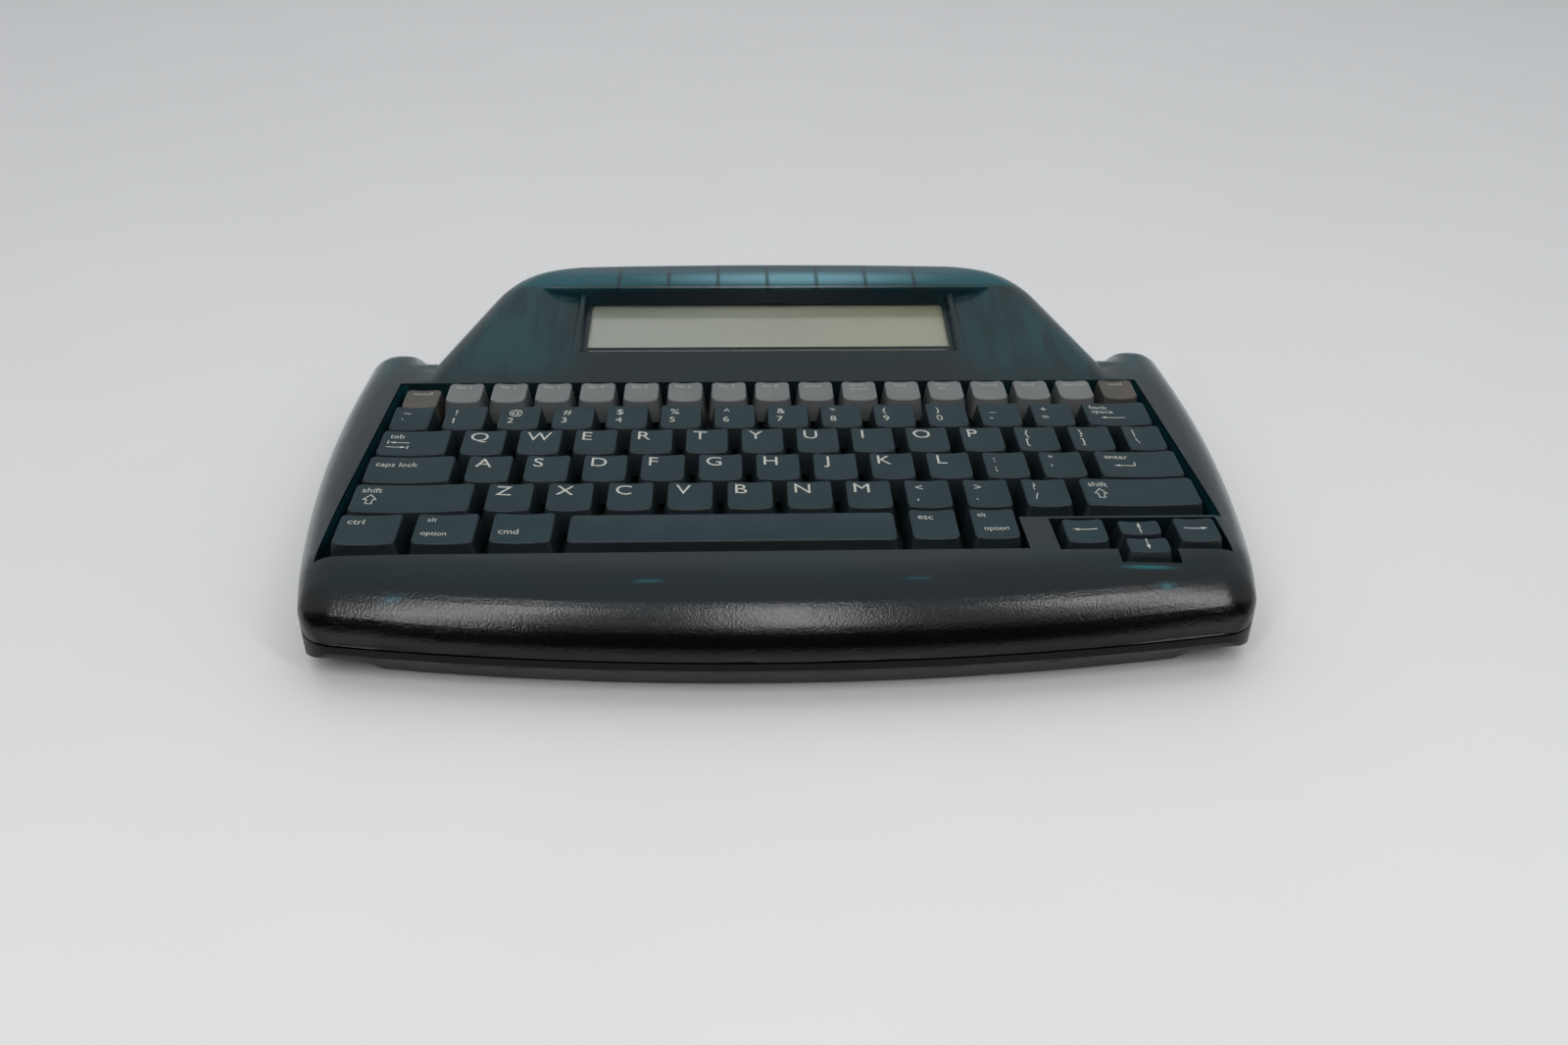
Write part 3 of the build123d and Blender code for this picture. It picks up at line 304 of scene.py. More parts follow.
def smoked_plastic(name, glows=(), rib_pitch=None, shine=0.5):
    """Smoked teal plastic: dark where it is backed, painted teal glow where light comes through."""
    material, tree, shader = new_material(name)
    spot = shader_node(tree, "TexCoord").outputs["Object"]
    parts = shader_node(tree, "SeparateXYZ")
    tree.links.new(spot, parts.inputs["Vector"])
    x, y, z = parts.outputs
    side = maths(tree, "ABSOLUTE", x)

    # Faint streaks all over, painted teal glow barred on the hood's flanks and low on side walls.
    deck = streaks(tree, spot, 70.0, (0.22, 1.0, 1.0), 0.40, 0.62)
    colour = mix_colour(tree, maths(tree, "MULTIPLY", deck, 0.7), SMOKE, BROWN)
    hood = both(tree, ramp(tree, side, 0.062, 0.095), ramp(tree, y, 0.018, 0.050))
    bars = streaks(tree, spot, 95.0, (1.0, 0.20, 0.35), 0.38, 0.60)
    bars = maths(tree, "ADD", maths(tree, "MULTIPLY", bars, 0.7), 0.3)
    colour = mix_colour(tree, both(tree, hood, bars), colour, GLOW_TEAL)
    edge = both(tree, away(tree, ramp(tree, z, 0.012, 0.030)), ramp(tree, side, 0.136, 0.154))
    colour = mix_colour(tree, maths(tree, "MULTIPLY", edge, 0.5), colour, GLOW_TEAL)

    # Painted shade, near black, round the nose; duller under the lip; dark painted shade beneath.
    front = away(tree, ramp(tree, y, -0.105, -0.088))
    nose = both(tree, away(tree, ramp(tree, z, 0.0250, 0.0325)), front)
    dull = both(tree, away(tree, ramp(tree, z, 0.0155, 0.0190)), front)
    colour = mix_colour(tree, nose, colour, NOSE_SHADE_BLACK)
    underside_shade = away(tree, ramp(tree, z, 0.0060, 0.0105))
    colour = mix_colour(tree, maths(tree, "MULTIPLY", underside_shade, 0.7), colour, UNDERSIDE_SHADE_TEAL)

    if rib_pitch:
        # The hood's crest gets painted glow, teal light between the dark lines of its ribs.
        crest = both(tree, ramp(tree, z, 0.0452, 0.0480), ramp(tree, y, 0.0905, 0.0940))
        back = maths(tree, "MULTIPLY", ramp(tree, y, 0.1030, 0.1085), 0.45)
        crest = both(tree, crest, away(tree, back))
        turn = maths(tree, "PINGPONG", maths(tree, "ADD", x, rib_pitch / 2), rib_pitch / 2)
        line = maths(tree, "SUBTRACT", rib_pitch / 2, turn)
        past_ribs = ramp(tree, side, 0.066, 0.070)
        clear = maths(tree, "MAXIMUM", ramp(tree, line, 0.0002, 0.0014), past_ribs)
        clear = maths(tree, "ADD", maths(tree, "MULTIPLY", clear, 0.75), 0.25)
        colour = mix_colour(tree, both(tree, crest, clear), colour, CREST_GLOW_TEAL)
        # A stronger painted glow in the middle of the crest.
        crest_glow = patch(tree, spot, (0.010, 0.0980, 0.0480), 0.075, 0.0072)
        crest_glow = maths(tree, "MULTIPLY", both(tree, crest_glow, clear), 0.85)
        colour = mix_colour(tree, crest_glow, colour, CREST_GLOW_BRIGHT)
        # A thin teal line of painted glow runs along the keyboard well's upper edge, both sides.
        rim = both(tree, ramp(tree, side, 0.1362, 0.1374), ramp(tree, z, 0.0265, 0.0305))
        rim = both(tree, rim, away(tree, ramp(tree, side, 0.1392, 0.1402)))
        rim = both(tree, rim, away(tree, ramp(tree, z, 0.0318, 0.0332)))
        rim = both(tree, rim, ramp(tree, y, -0.084, -0.078))
        colour = mix_colour(tree, maths(tree, "MULTIPLY", rim, 0.6), colour, WELL_RIM_GLOW)
    # Small painted glows mark the bosses and gaps behind the palm rest.
    for place, reach, depth, tint, strength in glows:
        mask = maths(tree, "MULTIPLY", patch(tree, spot, place, reach, depth), strength)
        colour = mix_colour(tree, mask, colour, tint)
    tree.links.new(colour, shader.inputs["Base Color"])

    polish = use_grain(tree, shader, 1500.0, 0.6, 0.14, 0.18)
    rubbed = maths(tree, "ADD", polish, maths(tree, "MULTIPLY", dull, 0.22))
    tree.links.new(rubbed, shader.inputs["Roughness"])
    shader.inputs["IOR"].default_value = 1.52
    shader.inputs["Specular IOR Level"].default_value = shine
    return material


# The front edge is an arc of radius BOW. Under the lip the moulded slope starts at SLOPE_TOP and
# falls by SLOPE_FALL, and the wall that takes its place leans in by WALL_LEAN.
FRONT_EDGE, BOW = -0.122, 0.771
LIP_FOOT, WALL_LEAN = 0.0112, 0.77
SLOPE_TOP, SLOPE_INSET, SLOPE_FALL, SLOPE_SLACK = 0.00867, 0.00116, 0.5034, 0.0009
EDGE_SLACK, FOOT_INSET, FOOT_SLACK = 0.0005, 0.0160, 0.0008
WALL_END, WALL_FADE = 0.138, 0.018
WALL_CUTS = (LIP_FOOT, 0.0085, 0.0060, 0.0035, 0.0012)
TUB_FRONT = -0.095


def inset_from_bow(x, y):
    """How far a point lies behind the bowed front edge."""
    return BOW - math.hypot(x, y - FRONT_EDGE - BOW)


def slice_front(bm, place, way, limit):
    """Cuts the faces nearer the front than the limit along one plane."""
    faces = [face for face in bm.faces if min(vert.co.y for vert in face.verts) < limit]
    edges = list({edge for face in faces for edge in face.edges})
    verts = list({vert for face in faces for vert in face.verts})
    bmesh.ops.bisect_plane(bm, geom=faces + edges + verts, plane_co=place, plane_no=way)


def slice_across(bm, limit):
    """Cuts the front into strips a centimetre wide, so that it can follow the bow."""
    for step in range(-15, 16):
        slice_front(bm, (step / 100, 0, 0), (1, 0, 0), limit)


def steepen_front(bm):
    """Stands the tub's front wall up steeper under its lip, its foot farther forward."""
    slice_across(bm, TUB_FRONT)
    for level in WALL_CUTS:
        slice_front(bm, (0, 0, level), (0, 0, 1), TUB_FRONT)
    for vert in bm.verts:
        x, y, z = vert.co
        inset = inset_from_bow(x, y)
        skin = SLOPE_TOP - max(0.0, inset - SLOPE_INSET) * SLOPE_FALL
        on_wall = -EDGE_SLACK < inset < FOOT_INSET + FOOT_SLACK
        if on_wall and z < LIP_FOOT and z < skin + SLOPE_SLACK:
            fade = min(1.0, max(0.0, (WALL_END - abs(x)) / WALL_FADE))
            vert.co.y -= fade * (min(inset, FOOT_INSET) - WALL_LEAN * (LIP_FOOT - z))


case_plastic = smoked_plastic("smoked_case_plastic", shine=0.17)
tub = smooth_copy("lower_tub", "lower_case", steepen_front)
tub.data.materials.append(case_plastic)
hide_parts("lower_case")
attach(tub, "case")

# ---- Feet and case screws -----------------------------------------------------------------------
# Four oblong rubber feet pressed on to the underside, and four zinc-plated self-tapping screws in
# deep wells.


def plain_finish(
    name, low, high, scale, smooth, rough, metal=0.0, depth=0.3, grain=1800.0, side_shade=None
):
    """A finish whose colour drifts between two shades, with a moulded or rolled grain."""
    material, tree, shader = new_material(name)
    spot = shader_node(tree, "TexCoord")
    drift = shader_node(tree, "TexNoise", Scale=scale, Detail=4.0, Roughness=0.6)
    tree.links.new(spot.outputs["Object"], drift.inputs["Vector"])
    mask = ramp(tree, drift.outputs["Fac"], 0.35, 0.65)
    colour = mix_colour(tree, mask, low, high)
    # Steep faces take the side shade colour: painted shade.
    if side_shade:
        slope = shader_node(tree, "SeparateXYZ")
        tree.links.new(spot.outputs["Normal"], slope.inputs["Vector"])
        steep = away(tree, ramp(tree, slope.outputs["Z"], 0.55, 0.85))
        colour = mix_colour(tree, steep, colour, side_shade)
    tree.links.new(colour, shader.inputs["Base Color"])
    use_grain(tree, shader, grain, depth, smooth, rough)
    shader.inputs["Metallic"].default_value = metal
    return material


def dress(node, material):
    """Gives a solid that stays in view its own finish."""
    nodes[node].data.materials.clear()
    nodes[node].data.materials.append(material)


RUBBER_LOW, RUBBER_HIGH = (0.012, 0.012, 0.012), (0.022, 0.022, 0.021)
ZINC_LOW, ZINC_HIGH = (0.42, 0.42, 0.43), (0.55, 0.55, 0.54)
foot_rubber = plain_finish("foot_rubber", RUBBER_LOW, RUBBER_HIGH, 90, 0.6, 0.8)
zinc = plain_finish("zinc_plated_steel", ZINC_LOW, ZINC_HIGH, 260, 0.28, 0.42, 1.0)
dress("rubber_feet", foot_rubber)
dress("case_screws", zinc)

# ---- Battery bay --------------------------------------------------------------------------------
# Three round cells lie side by side behind a flush door, each between a pair of nickel-plated
# leaf contacts. The door is moulded in the case plastic and hooks in at its front edge.

LABEL_LOW, LABEL_HIGH = (0.03, 0.03, 0.035), (0.05, 0.05, 0.055)
NICKEL_LOW, NICKEL_HIGH = (0.55, 0.53, 0.48), (0.66, 0.64, 0.59)
cell_label = plain_finish("cell_label", LABEL_LOW, LABEL_HIGH, 60, 0.25, 0.35)
nickel = plain_finish("nickel_contacts", NICKEL_LOW, NICKEL_HIGH, 300, 0.2, 0.35, 1.0)
dress("battery_cells", cell_label)
dress("battery_contacts", nickel)
dress("battery_door", case_plastic)

# ---- Circuit boards, sockets and flat cables ----------------------------------------------------
# Green coated boards with black chips, a coin cell that keeps the text, black moulded sockets at
# the rear and two flat flexible cables of amber film.

BOARD_LOW, BOARD_HIGH = (0.010, 0.075, 0.032), (0.016, 0.105, 0.045)
CHIP_LOW, CHIP_HIGH = (0.010, 0.010, 0.011), (0.017, 0.017, 0.018)
COIN_LOW, COIN_HIGH = (0.55, 0.55, 0.55), (0.65, 0.65, 0.64)
SOCKET_LOW, SOCKET_HIGH = (0.012, 0.012, 0.012), (0.020, 0.020, 0.021)
AMBER_LOW, AMBER_HIGH = (0.36, 0.18, 0.035), (0.44, 0.23, 0.05)
coated_board = plain_finish("coated_board", BOARD_LOW, BOARD_HIGH, 420, 0.3, 0.45)
chip_black = plain_finish("chip_black", CHIP_LOW, CHIP_HIGH, 500, 0.45, 0.6)
coin_steel = plain_finish("coin_steel", COIN_LOW, COIN_HIGH, 320, 0.2, 0.35, 1.0)
socket_black = plain_finish("socket_black", SOCKET_LOW, SOCKET_HIGH, 400, 0.35, 0.5)
amber_film = plain_finish("amber_film", AMBER_LOW, AMBER_HIGH, 200, 0.25, 0.4)
for board in ("main_board", "display_board"):
    dress(board, coated_board)
dress("board_chips", chip_black)
dress("backup_coin_cell", coin_steel)
for socket in ("round_sockets", "usb_socket"):
    dress(socket, socket_black)
for cable in ("keyboard_cable", "display_cable"):
    dress(cable, amber_film)

# ---- Keyboard stack -----------------------------------------------------------------------------
# Aluminium back plate, printed contact film, silicone dome mat and the black moulded plate whose
# square holes guide the key stems.

PLATE_LOW, PLATE_HIGH = (0.50, 0.50, 0.51), (0.60, 0.60, 0.60)
FILM_LOW, FILM_HIGH = (0.55, 0.53, 0.46), (0.62, 0.60, 0.53)
SILICONE_LOW, SILICONE_HIGH = (0.16, 0.16, 0.15), (0.21, 0.21, 0.20)
GUIDE_LOW, GUIDE_HIGH = (0.008, 0.009, 0.010), (0.014, 0.015, 0.016)
plate_aluminium = plain_finish("plate_aluminium", PLATE_LOW, PLATE_HIGH, 150, 0.3, 0.45, 1.0)
contact_film = plain_finish("contact_film", FILM_LOW, FILM_HIGH, 120, 0.3, 0.4)
dome_silicone = plain_finish("dome_silicone", SILICONE_LOW, SILICONE_HIGH, 80, 0.55, 0.7)
guide_black = plain_finish("guide_black", GUIDE_LOW, GUIDE_HIGH, 160, 0.45, 0.6)
dress("keyboard_backplate", plate_aluminium)
dress("contact_membrane", contact_film)
dress("rubber_dome_mat", dome_silicone)
dress("key_guide_plate", guide_black)
dress("space_bar_stabiliser", zinc)

# ---- Upper case ---------------------------------------------------------------------------------
# One large moulding in the same smoked plastic: palm rest, keyboard well, rear pods and the hood.
# Painted teal glow where nothing dark lies behind the wall, as on the crest between its inner ribs.

RIB_PITCH = 0.0205
# Patches painted on the palm rest: teal glow round its bosses and gaps, warm at its front corners.
GLOW = (0.006, 0.115, 0.135)
WARM = (0.030, 0.012, 0.011)
palm_glows = [  # place, reach, depth, colour and strength
    ((-0.1137, -0.1068, 0.0335), 0.0075, 0.0022, GLOW, 0.40),
    ((-0.1137, -0.1068, 0.0335), 0.0026, 0.0010, GLOW, 0.9),
    ((-0.0395, -0.1055, 0.0335), 0.0065, 0.0009, GLOW, 0.55),
    ((0.0391, -0.1055, 0.0335), 0.0065, 0.0008, GLOW, 0.35),
    ((0.1133, -0.1057, 0.0335), 0.0060, 0.0020, GLOW, 0.45),
    ((0.1133, -0.1057, 0.0335), 0.0022, 0.0010, GLOW, 0.9),
    ((0.1089, -0.1004, 0.0335), 0.0115, 0.0010, GLOW, 0.95),
    ((-0.1275, -0.1110, 0.0315), 0.0070, 0.0060, WARM, 0.8),
    ((0.1275, -0.1110, 0.0315), 0.0070, 0.0060, WARM, 0.8),
]
upper_plastic = smoked_plastic("smoked_shell_plastic", palm_glows, RIB_PITCH)

# The roll's radius goes from NOSE_WIDE to NOSE_NARROW towards the corners. The solid's own round
# there is SHOULDER.
NOSE_WIDE, NOSE_NARROW = 0.024, 0.022
NARROWING, NARROW_SPAN = 0.085, 0.045
SHOULDER = 0.013
PARTING, DECK = 0.0145, 0.0335
NOSE_CUTS, CUT_PITCH, FIRST_CUT = 28, 0.0012, 0.0004
PALM_FRONT, WELL_FRONT, NOSE_BACK = -0.070, -0.088, -0.094
RIM_BACK, RIM_HEIGHT, RIM_JOIN = -0.085, 0.0007, 0.0004


def straighten(bm, way):
    """Takes the bow of the front edge out of a mesh, or puts it back with way at -1."""
    for vert in bm.verts:
        vert.co.y -= way * (BOW - math.sqrt(BOW**2 - vert.co.x**2))


def roll_nose(bm):
    """Draws the front of the palm rest down to the parting line in one wide roll."""
    slice_across(bm, PALM_FRONT)
    straighten(bm, 1)
    for step in range(NOSE_CUTS):
        place = FRONT_EDGE + FIRST_CUT + step * CUT_PITCH
        slice_front(bm, (0, place, 0), (0, 1, 0), WELL_FRONT)
    straighten(bm, -1)
    for vert in bm.verts:
        x, y, z = vert.co
        inset = max(0.0, inset_from_bow(x, y))
        share = min(1.0, max(0.0, (abs(x) - NARROWING) / NARROW_SPAN))
        radius = NOSE_WIDE + (NOSE_NARROW - NOSE_WIDE) * share * share * (3 - 2 * share)
        run = math.sqrt(radius**2 - (radius - DECK + PARTING) ** 2)
        if inset >= run or z <= PARTING:
            continue
        short = math.sqrt(SHOULDER**2 - max(0.0, SHOULDER - inset) ** 2)
        moulded = DECK - SHOULDER + short - PARTING
        rolled = DECK - radius + math.sqrt(radius**2 - (run - inset) ** 2) - PARTING
        vert.co.z = PARTING + (z - PARTING) * rolled / moulded
    front = [vert for vert in bm.verts if vert.co.y < RIM_BACK]
    rim = [vert for vert in front if PARTING - 1e-5 < vert.co.z < PARTING + RIM_HEIGHT]
    bmesh.ops.remove_doubles(bm, verts=rim, dist=RIM_JOIN)


shell = smooth_copy("upper_shell", "upper_case", roll_nose)
flats = shell.vertex_groups.new(name="flat_walls")
behind_nose = [vert.index for vert in shell.data.vertices if vert.co.y > NOSE_BACK]
flats.add(behind_nose, 1.0, "REPLACE")
shell.modifiers["even_normals"].vertex_group = "flat_walls"
shell.data.materials.append(upper_plastic)
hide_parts("upper_case")
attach(shell, "case")

# ---- Display ------------------------------------------------------------------------------------
# A clear moulded window under the recess floor, and behind it the liquid crystal glass in a folded
# steel frame. Unlit, the glass is olive with a faint grid of cells, and painted reflection greys
# it towards the left.

CRYSTAL_REFLECTION_GREY, CRYSTAL_OLIVE = (0.425, 0.432, 0.365), (0.430, 0.425, 0.290)
CELL = 0.0007
WHITE, CELL_GAP_TONE = (1.0, 1.0, 1.0, 1), (0.965, 0.965, 0.96, 1)
window_clear, tree, shader = new_material("clear_window")
shader.inputs["Base Color"].default_value = (0.95, 0.97, 0.95, 1)
shader.inputs["Transmission Weight"].default_value = 1.0
shader.inputs["IOR"].default_value = 1.45
shader.inputs["Roughness"].default_value = 0.06
dress("display_window", window_clear)

crystal_glass, tree, shader = new_material("liquid_crystal_glass")
spot = shader_node(tree, "TexCoord").outputs["Object"]
parts = shader_node(tree, "SeparateXYZ")
tree.links.new(spot, parts.inputs["Vector"])
# Painted reflection: grey to the left, the crystal's own olive to the right.
along = ramp(tree, parts.outputs["X"], -0.075, 0.080)
olive_and_reflection = mix_colour(tree, along, CRYSTAL_REFLECTION_GREY, CRYSTAL_OLIVE)
cells = shader_node(
    tree, "TexBrick", Scale=1.0, Mortar_Size=0.00008, Row_Height=CELL, Brick_Width=CELL
)
cells.offset = 0.0
cells.inputs["Color1"].default_value = WHITE
cells.inputs["Color2"].default_value = WHITE
cells.inputs["Mortar"].default_value = CELL_GAP_TONE
tree.links.new(spot, cells.inputs["Vector"])
toned = tree.nodes.new("ShaderNodeMix")
toned.data_type = "RGBA"
toned.blend_type = "MULTIPLY"
toned.inputs["Factor"].default_value = 1.0
tree.links.new(olive_and_reflection, toned.inputs[6])
tree.links.new(cells.outputs["Color"], toned.inputs[7])
tree.links.new(toned.outputs[2], shader.inputs["Base Color"])
shader.inputs["Roughness"].default_value = 0.32
dress("display_panel", crystal_glass)
FRAME_LOW, FRAME_HIGH = (0.05, 0.05, 0.05), (0.08, 0.08, 0.08)
frame_steel = plain_finish("frame_steel", FRAME_LOW, FRAME_HIGH, 200, 0.35, 0.5, 1.0)
dress("display_bezel", frame_steel)

# ---- Keys ---------------------------------------------------------------------------------------
# Each cap is one hollow moulding in matt dyed plastic: walls that lean in, a tilted top dished
# across its width, rounded rims, and a square stem that slides in the guide plate.

# Millimetres, and shares of the key pitch. SIDE, FRONT and REAR are how far a cap's walls lean in.
PITCH = 19.05
FIELD_HALF = 14.4 * PITCH / 2
GAP = 1.05
FIRST_ROW, ROW_LEAD = -11.0, 0.04
SKIRT, CAP_HEIGHT = 26.6, 8.4
SIDE, FRONT, REAR = 1.9, 1.8, 1.4
CORNER, RIM = 1.9, 0.65
TILT, DIP, CROWN = math.radians(5.0), 0.6, 0.5
CAP_CREASE = math.radians(40)
STEM, FLAT_STEM, STEM_HEIGHT, STEM_DROP = 5.4, 4.2, 6.0, 2.5
FLAT_CAP = 12.0
FUNCTION_DEPTH, FUNCTION_SIDE, FUNCTION_CORNER = 16.4, 1.25, 2.8
FUNCTION_FRONT, POWER_DROP = 10.6, 2.5
ARROW_WIDTH, SIDE_ARROW_DEPTH, FLAT_ARROW_DEPTH = 16.3, 14.6, 9.7
ARROW_X, ARROW_STEP, ARROW_GAP = 110.3, 17.3, 0.5
SIDE_ARROW_FRONT, DOWN_ARROW_STEP = -90.0, 5.9


def top_height(width, depth, x, y, drop, side, bar=False):
    """Height of a cap's top at a point measured from the cap's centre, in millimetres."""
    front = FRONT - depth / 2
    half = width / 2 - side
    tilt = TILT / 2 if bar else TILT
    rise = SKIRT + CAP_HEIGHT - drop + (y - front) * math.tan(tilt)
    if bar:
        middle = (FRONT - REAR) / 2
        reach = (depth - FRONT - REAR) / 2
        return rise + CROWN * (1 - ((y - middle) / reach) ** 2) - CROWN
    return rise - DIP * max(0.0, 1 - (x / half) ** 2)


def cut_through(bm, places, way):
    """Cuts a mesh along planes that stand this far from its origin."""
    for place in places:
        geom = bm.verts[:] + bm.edges[:] + bm.faces[:]
        origin = [place * part for part in way]
        bmesh.ops.bisect_plane(bm, geom=geom, plane_co=origin, plane_no=way)


def cut_places(count, length):
    """Where to cut a length about its middle into this many equal parts."""
    return [(index / count - 0.5) * length for index in range(1, count)]


def add_cap(target, width, depth, x, y, drop, side, bar=False):
    """Adds one key cap to a mesh that is being built, in millimetres."""
    bm = bmesh.new()
    bmesh.ops.create_cube(bm, size=1.0)
    bmesh.ops.scale(bm, vec=(width, depth, CAP_HEIGHT), verts=bm.verts)
    corners = [edge for edge in bm.edges if abs(edge.verts[0].co.z - edge.verts[1].co.z) > 1]
    radius = CORNER if side == SIDE else FUNCTION_CORNER
    bmesh.ops.bevel(
        bm, geom=corners, offset=radius, segments=4, profile=0.5, affect="EDGES", material=-1
    )
    cut_through(bm, cut_places(4 if bar else 12, width - 2 * radius), (1, 0, 0))
    if bar:
        cut_through(bm, cut_places(7, depth - 2 * radius), (0, 1, 0))
    for vert in bm.verts:
        if vert.co.z > 0:
            share = (vert.co.y + depth / 2) / depth
            vert.co.x *= (width / 2 - side) / (width / 2)
            vert.co.y = FRONT - depth / 2 + share * (depth - FRONT - REAR)
            vert.co.z = top_height(width, depth, vert.co.x, vert.co.y, drop, side, bar)
        else:
            vert.co.z = SKIRT
    bm.normal_update()
    rim = []
    for edge in bm.edges:
        if len(edge.link_faces) == 2:
            tops = [face.normal.z > 0.8 for face in edge.link_faces]
            if tops[0] != tops[1] and min(vert.co.z for vert in edge.verts) > SKIRT + 3:
                rim.append(edge)
    bmesh.ops.bevel(bm, geom=rim, offset=RIM, segments=3, profile=0.5, affect="EDGES", material=-1)
    for face in bm.faces:
        face.smooth = True
    for edge in bm.edges:
        edge.smooth = edge.calc_face_angle(0) < CAP_CREASE
    stem = bmesh.ops.create_cube(bm, size=1.0)["verts"]
    stem_depth = STEM if depth > FLAT_CAP else FLAT_STEM
    bmesh.ops.scale(bm, vec=(STEM, stem_depth, STEM_HEIGHT), verts=stem)
    bmesh.ops.translate(bm, vec=(0, 0, SKIRT - STEM_DROP), verts=stem)
    bmesh.ops.translate(bm, vec=(x, y, 0), verts=bm.verts)
    scratch = bpy.data.meshes.new("scratch")
    bm.to_mesh(scratch)
    bm.free()
    target.from_mesh(scratch)
    bpy.data.meshes.remove(scratch)


def row_centre(row):
    """Depth of the middle of the caps in a typing row."""
    return FIRST_ROW - (row - 1) * PITCH - FRONT + (PITCH - GAP) / 2


COLUMNS = (
    "1_q_a_z 2_w_s_x 3_e_d_c 4_r_f_v 5_t_g_b 6_y_h_n 7_u_j_m 8_i_k_comma 9_o_l_period "
    "0_p_semicolon_slash marks_right"
).split()
NUMBER_ROW = "~` !1 @2 #3 $4 %5 ^6 &7 *8 (9 )0 _- +=".split()
LETTER_ROWS = {2: "Q W E R T Y U I O P {[ }]".split(), 3: "A S D F G H J K L :; \"'".split()}
LETTER_ROWS[4] = "Z X C V B N M <, >. ?/".split()
keys = []


def add_key(node, legend, left, units, row):
    """Notes one full-size key: its node, its legend and where it stands."""
    x = -FIELD_HALF + (left + units / 2) * PITCH
    keys.append((node, legend, units * PITCH - GAP, PITCH - GAP, x, row_centre(row), 0.0, SIDE))


lead = ROW_LEAD
add_key("keys_" + COLUMNS[0], NUMBER_ROW[0], 0, 1 - lead, 1)
for index, legend in enumerate(NUMBER_ROW[1:]):
    add_key("keys_" + COLUMNS[min(index, 10)], legend, index + 1 - lead, 1, 1)
add_key("key_backspace", "back space", 13 - lead, 1.4 + lead, 1)
add_key("key_tab", "tab", 0, 1.5 - lead, 2)
add_key("key_caps_lock", "caps lock", 0, 1.75 - lead, 3)
add_key("key_shift_left", "shift", 0, 2.25 - lead, 4)
for row, legends in LETTER_ROWS.items():
    start = {2: 1.5, 3: 1.75, 4: 2.25}[row] - lead
    for index, legend in enumerate(legends):
        add_key("keys_" + COLUMNS[min(index, 10)], legend, start + index, 1, row)
add_key("keys_marks_right", "|\\", 13.5 - lead, 0.9 + lead, 2)
add_key("key_enter", "enter", 12.75 - lead, 1.65 + lead, 3)
add_key("key_shift_right", "shift", 12.25 - lead, 2.15 + lead, 4)
BOTTOM_ROW = (
    ("key_ctrl", "ctrl", 1.23),
    ("key_alt_left", "alt option", 1.22),
    ("key_cmd", "cmd", 1.22),
    ("key_space_bar", "", 5.5),
    ("key_esc", "esc", 1.0),
    ("key_alt_right", "alt option", 0.97),
)
edge = 0.0
for node, legend, units in BOTTOM_ROW:
    add_key(node, legend, edge, units, 5)
    edge += units

FUNCTIONS = ["on/off"] + ["file " + str(n) for n in range(1, 9)]
FUNCTIONS += ["print", "spell\ncheck", "find", "clear\nfile", "home", "end", "applets", "send"]
function_pitch = 2 * FIELD_HALF / len(FUNCTIONS)
for index, legend in enumerate(FUNCTIONS):
    node = "keys_files" if index <= 8 else "keys_commands"
    if index == 0:
        node = "key_on_off"
    if index == len(FUNCTIONS) - 1:
        node = "key_send"
    x = -FIELD_HALF + (index + 0.5) * function_pitch
    y = FUNCTION_FRONT - FRONT + FUNCTION_DEPTH / 2
    drop = POWER_DROP if index == 0 else 0.0
    width = function_pitch - GAP
    keys.append((node, legend, width, FUNCTION_DEPTH, x, y, drop, FUNCTION_SIDE))
side_y = SIDE_ARROW_FRONT - FRONT + SIDE_ARROW_DEPTH / 2
down_y = SIDE_ARROW_FRONT - DOWN_ARROW_STEP - FRONT + FLAT_ARROW_DEPTH / 2
up_y = down_y + FLAT_ARROW_DEPTH + ARROW_GAP
for name, x, y, depth in (
    ("left", ARROW_X - ARROW_STEP, side_y, SIDE_ARROW_DEPTH),
    ("right", ARROW_X + ARROW_STEP, side_y, SIDE_ARROW_DEPTH),
    ("down", ARROW_X, down_y, FLAT_ARROW_DEPTH),
    ("up", ARROW_X, up_y, FLAT_ARROW_DEPTH),
):
    keys.append(("key_arrow_" + name, name, ARROW_WIDTH, depth, x, y, 0.0, SIDE))

# The third colour of each key finish is painted shade on the caps' steep walls.
KEY_LOW, KEY_HIGH = (0.0055, 0.0225, 0.0290), (0.0070, 0.0270, 0.0345)
KEY_SIDE_SHADE = (0.0024, 0.0085, 0.0105)
FUNCTION_LOW, FUNCTION_HIGH = (0.150, 0.158, 0.158), (0.168, 0.176, 0.176)
FUNCTION_SIDE_SHADE = (0.085, 0.089, 0.090)
ACCENT_LOW, ACCENT_HIGH = (0.072, 0.064, 0.056), (0.086, 0.077, 0.067)
ACCENT_SIDE_SHADE = (0.040, 0.036, 0.031)
key_plastic = plain_finish(
    "key_plastic", KEY_LOW, KEY_HIGH, 55, 0.44, 0.54, 0.0, 0.5, 2300, KEY_SIDE_SHADE
)
function_plastic = plain_finish(
    "function_key_plastic", FUNCTION_LOW, FUNCTION_HIGH, 60, 0.44, 0.54, 0.0, 0.4, 2300,
    FUNCTION_SIDE_SHADE
)
accent_plastic = plain_finish(
    "accent_key_plastic", ACCENT_LOW, ACCENT_HIGH, 60, 0.44, 0.54, 0.0, 0.4, 2300, ACCENT_SIDE_SHADE
)
FINISHES = {
    "keys_files": (function_plastic, "function_key_plastic"),
    "keys_commands": (function_plastic, "function_key_plastic"),
    "key_on_off": (accent_plastic, "accent_key_plastic"),
    "key_send": (accent_plastic, "accent_key_plastic"),
}
caps = {}
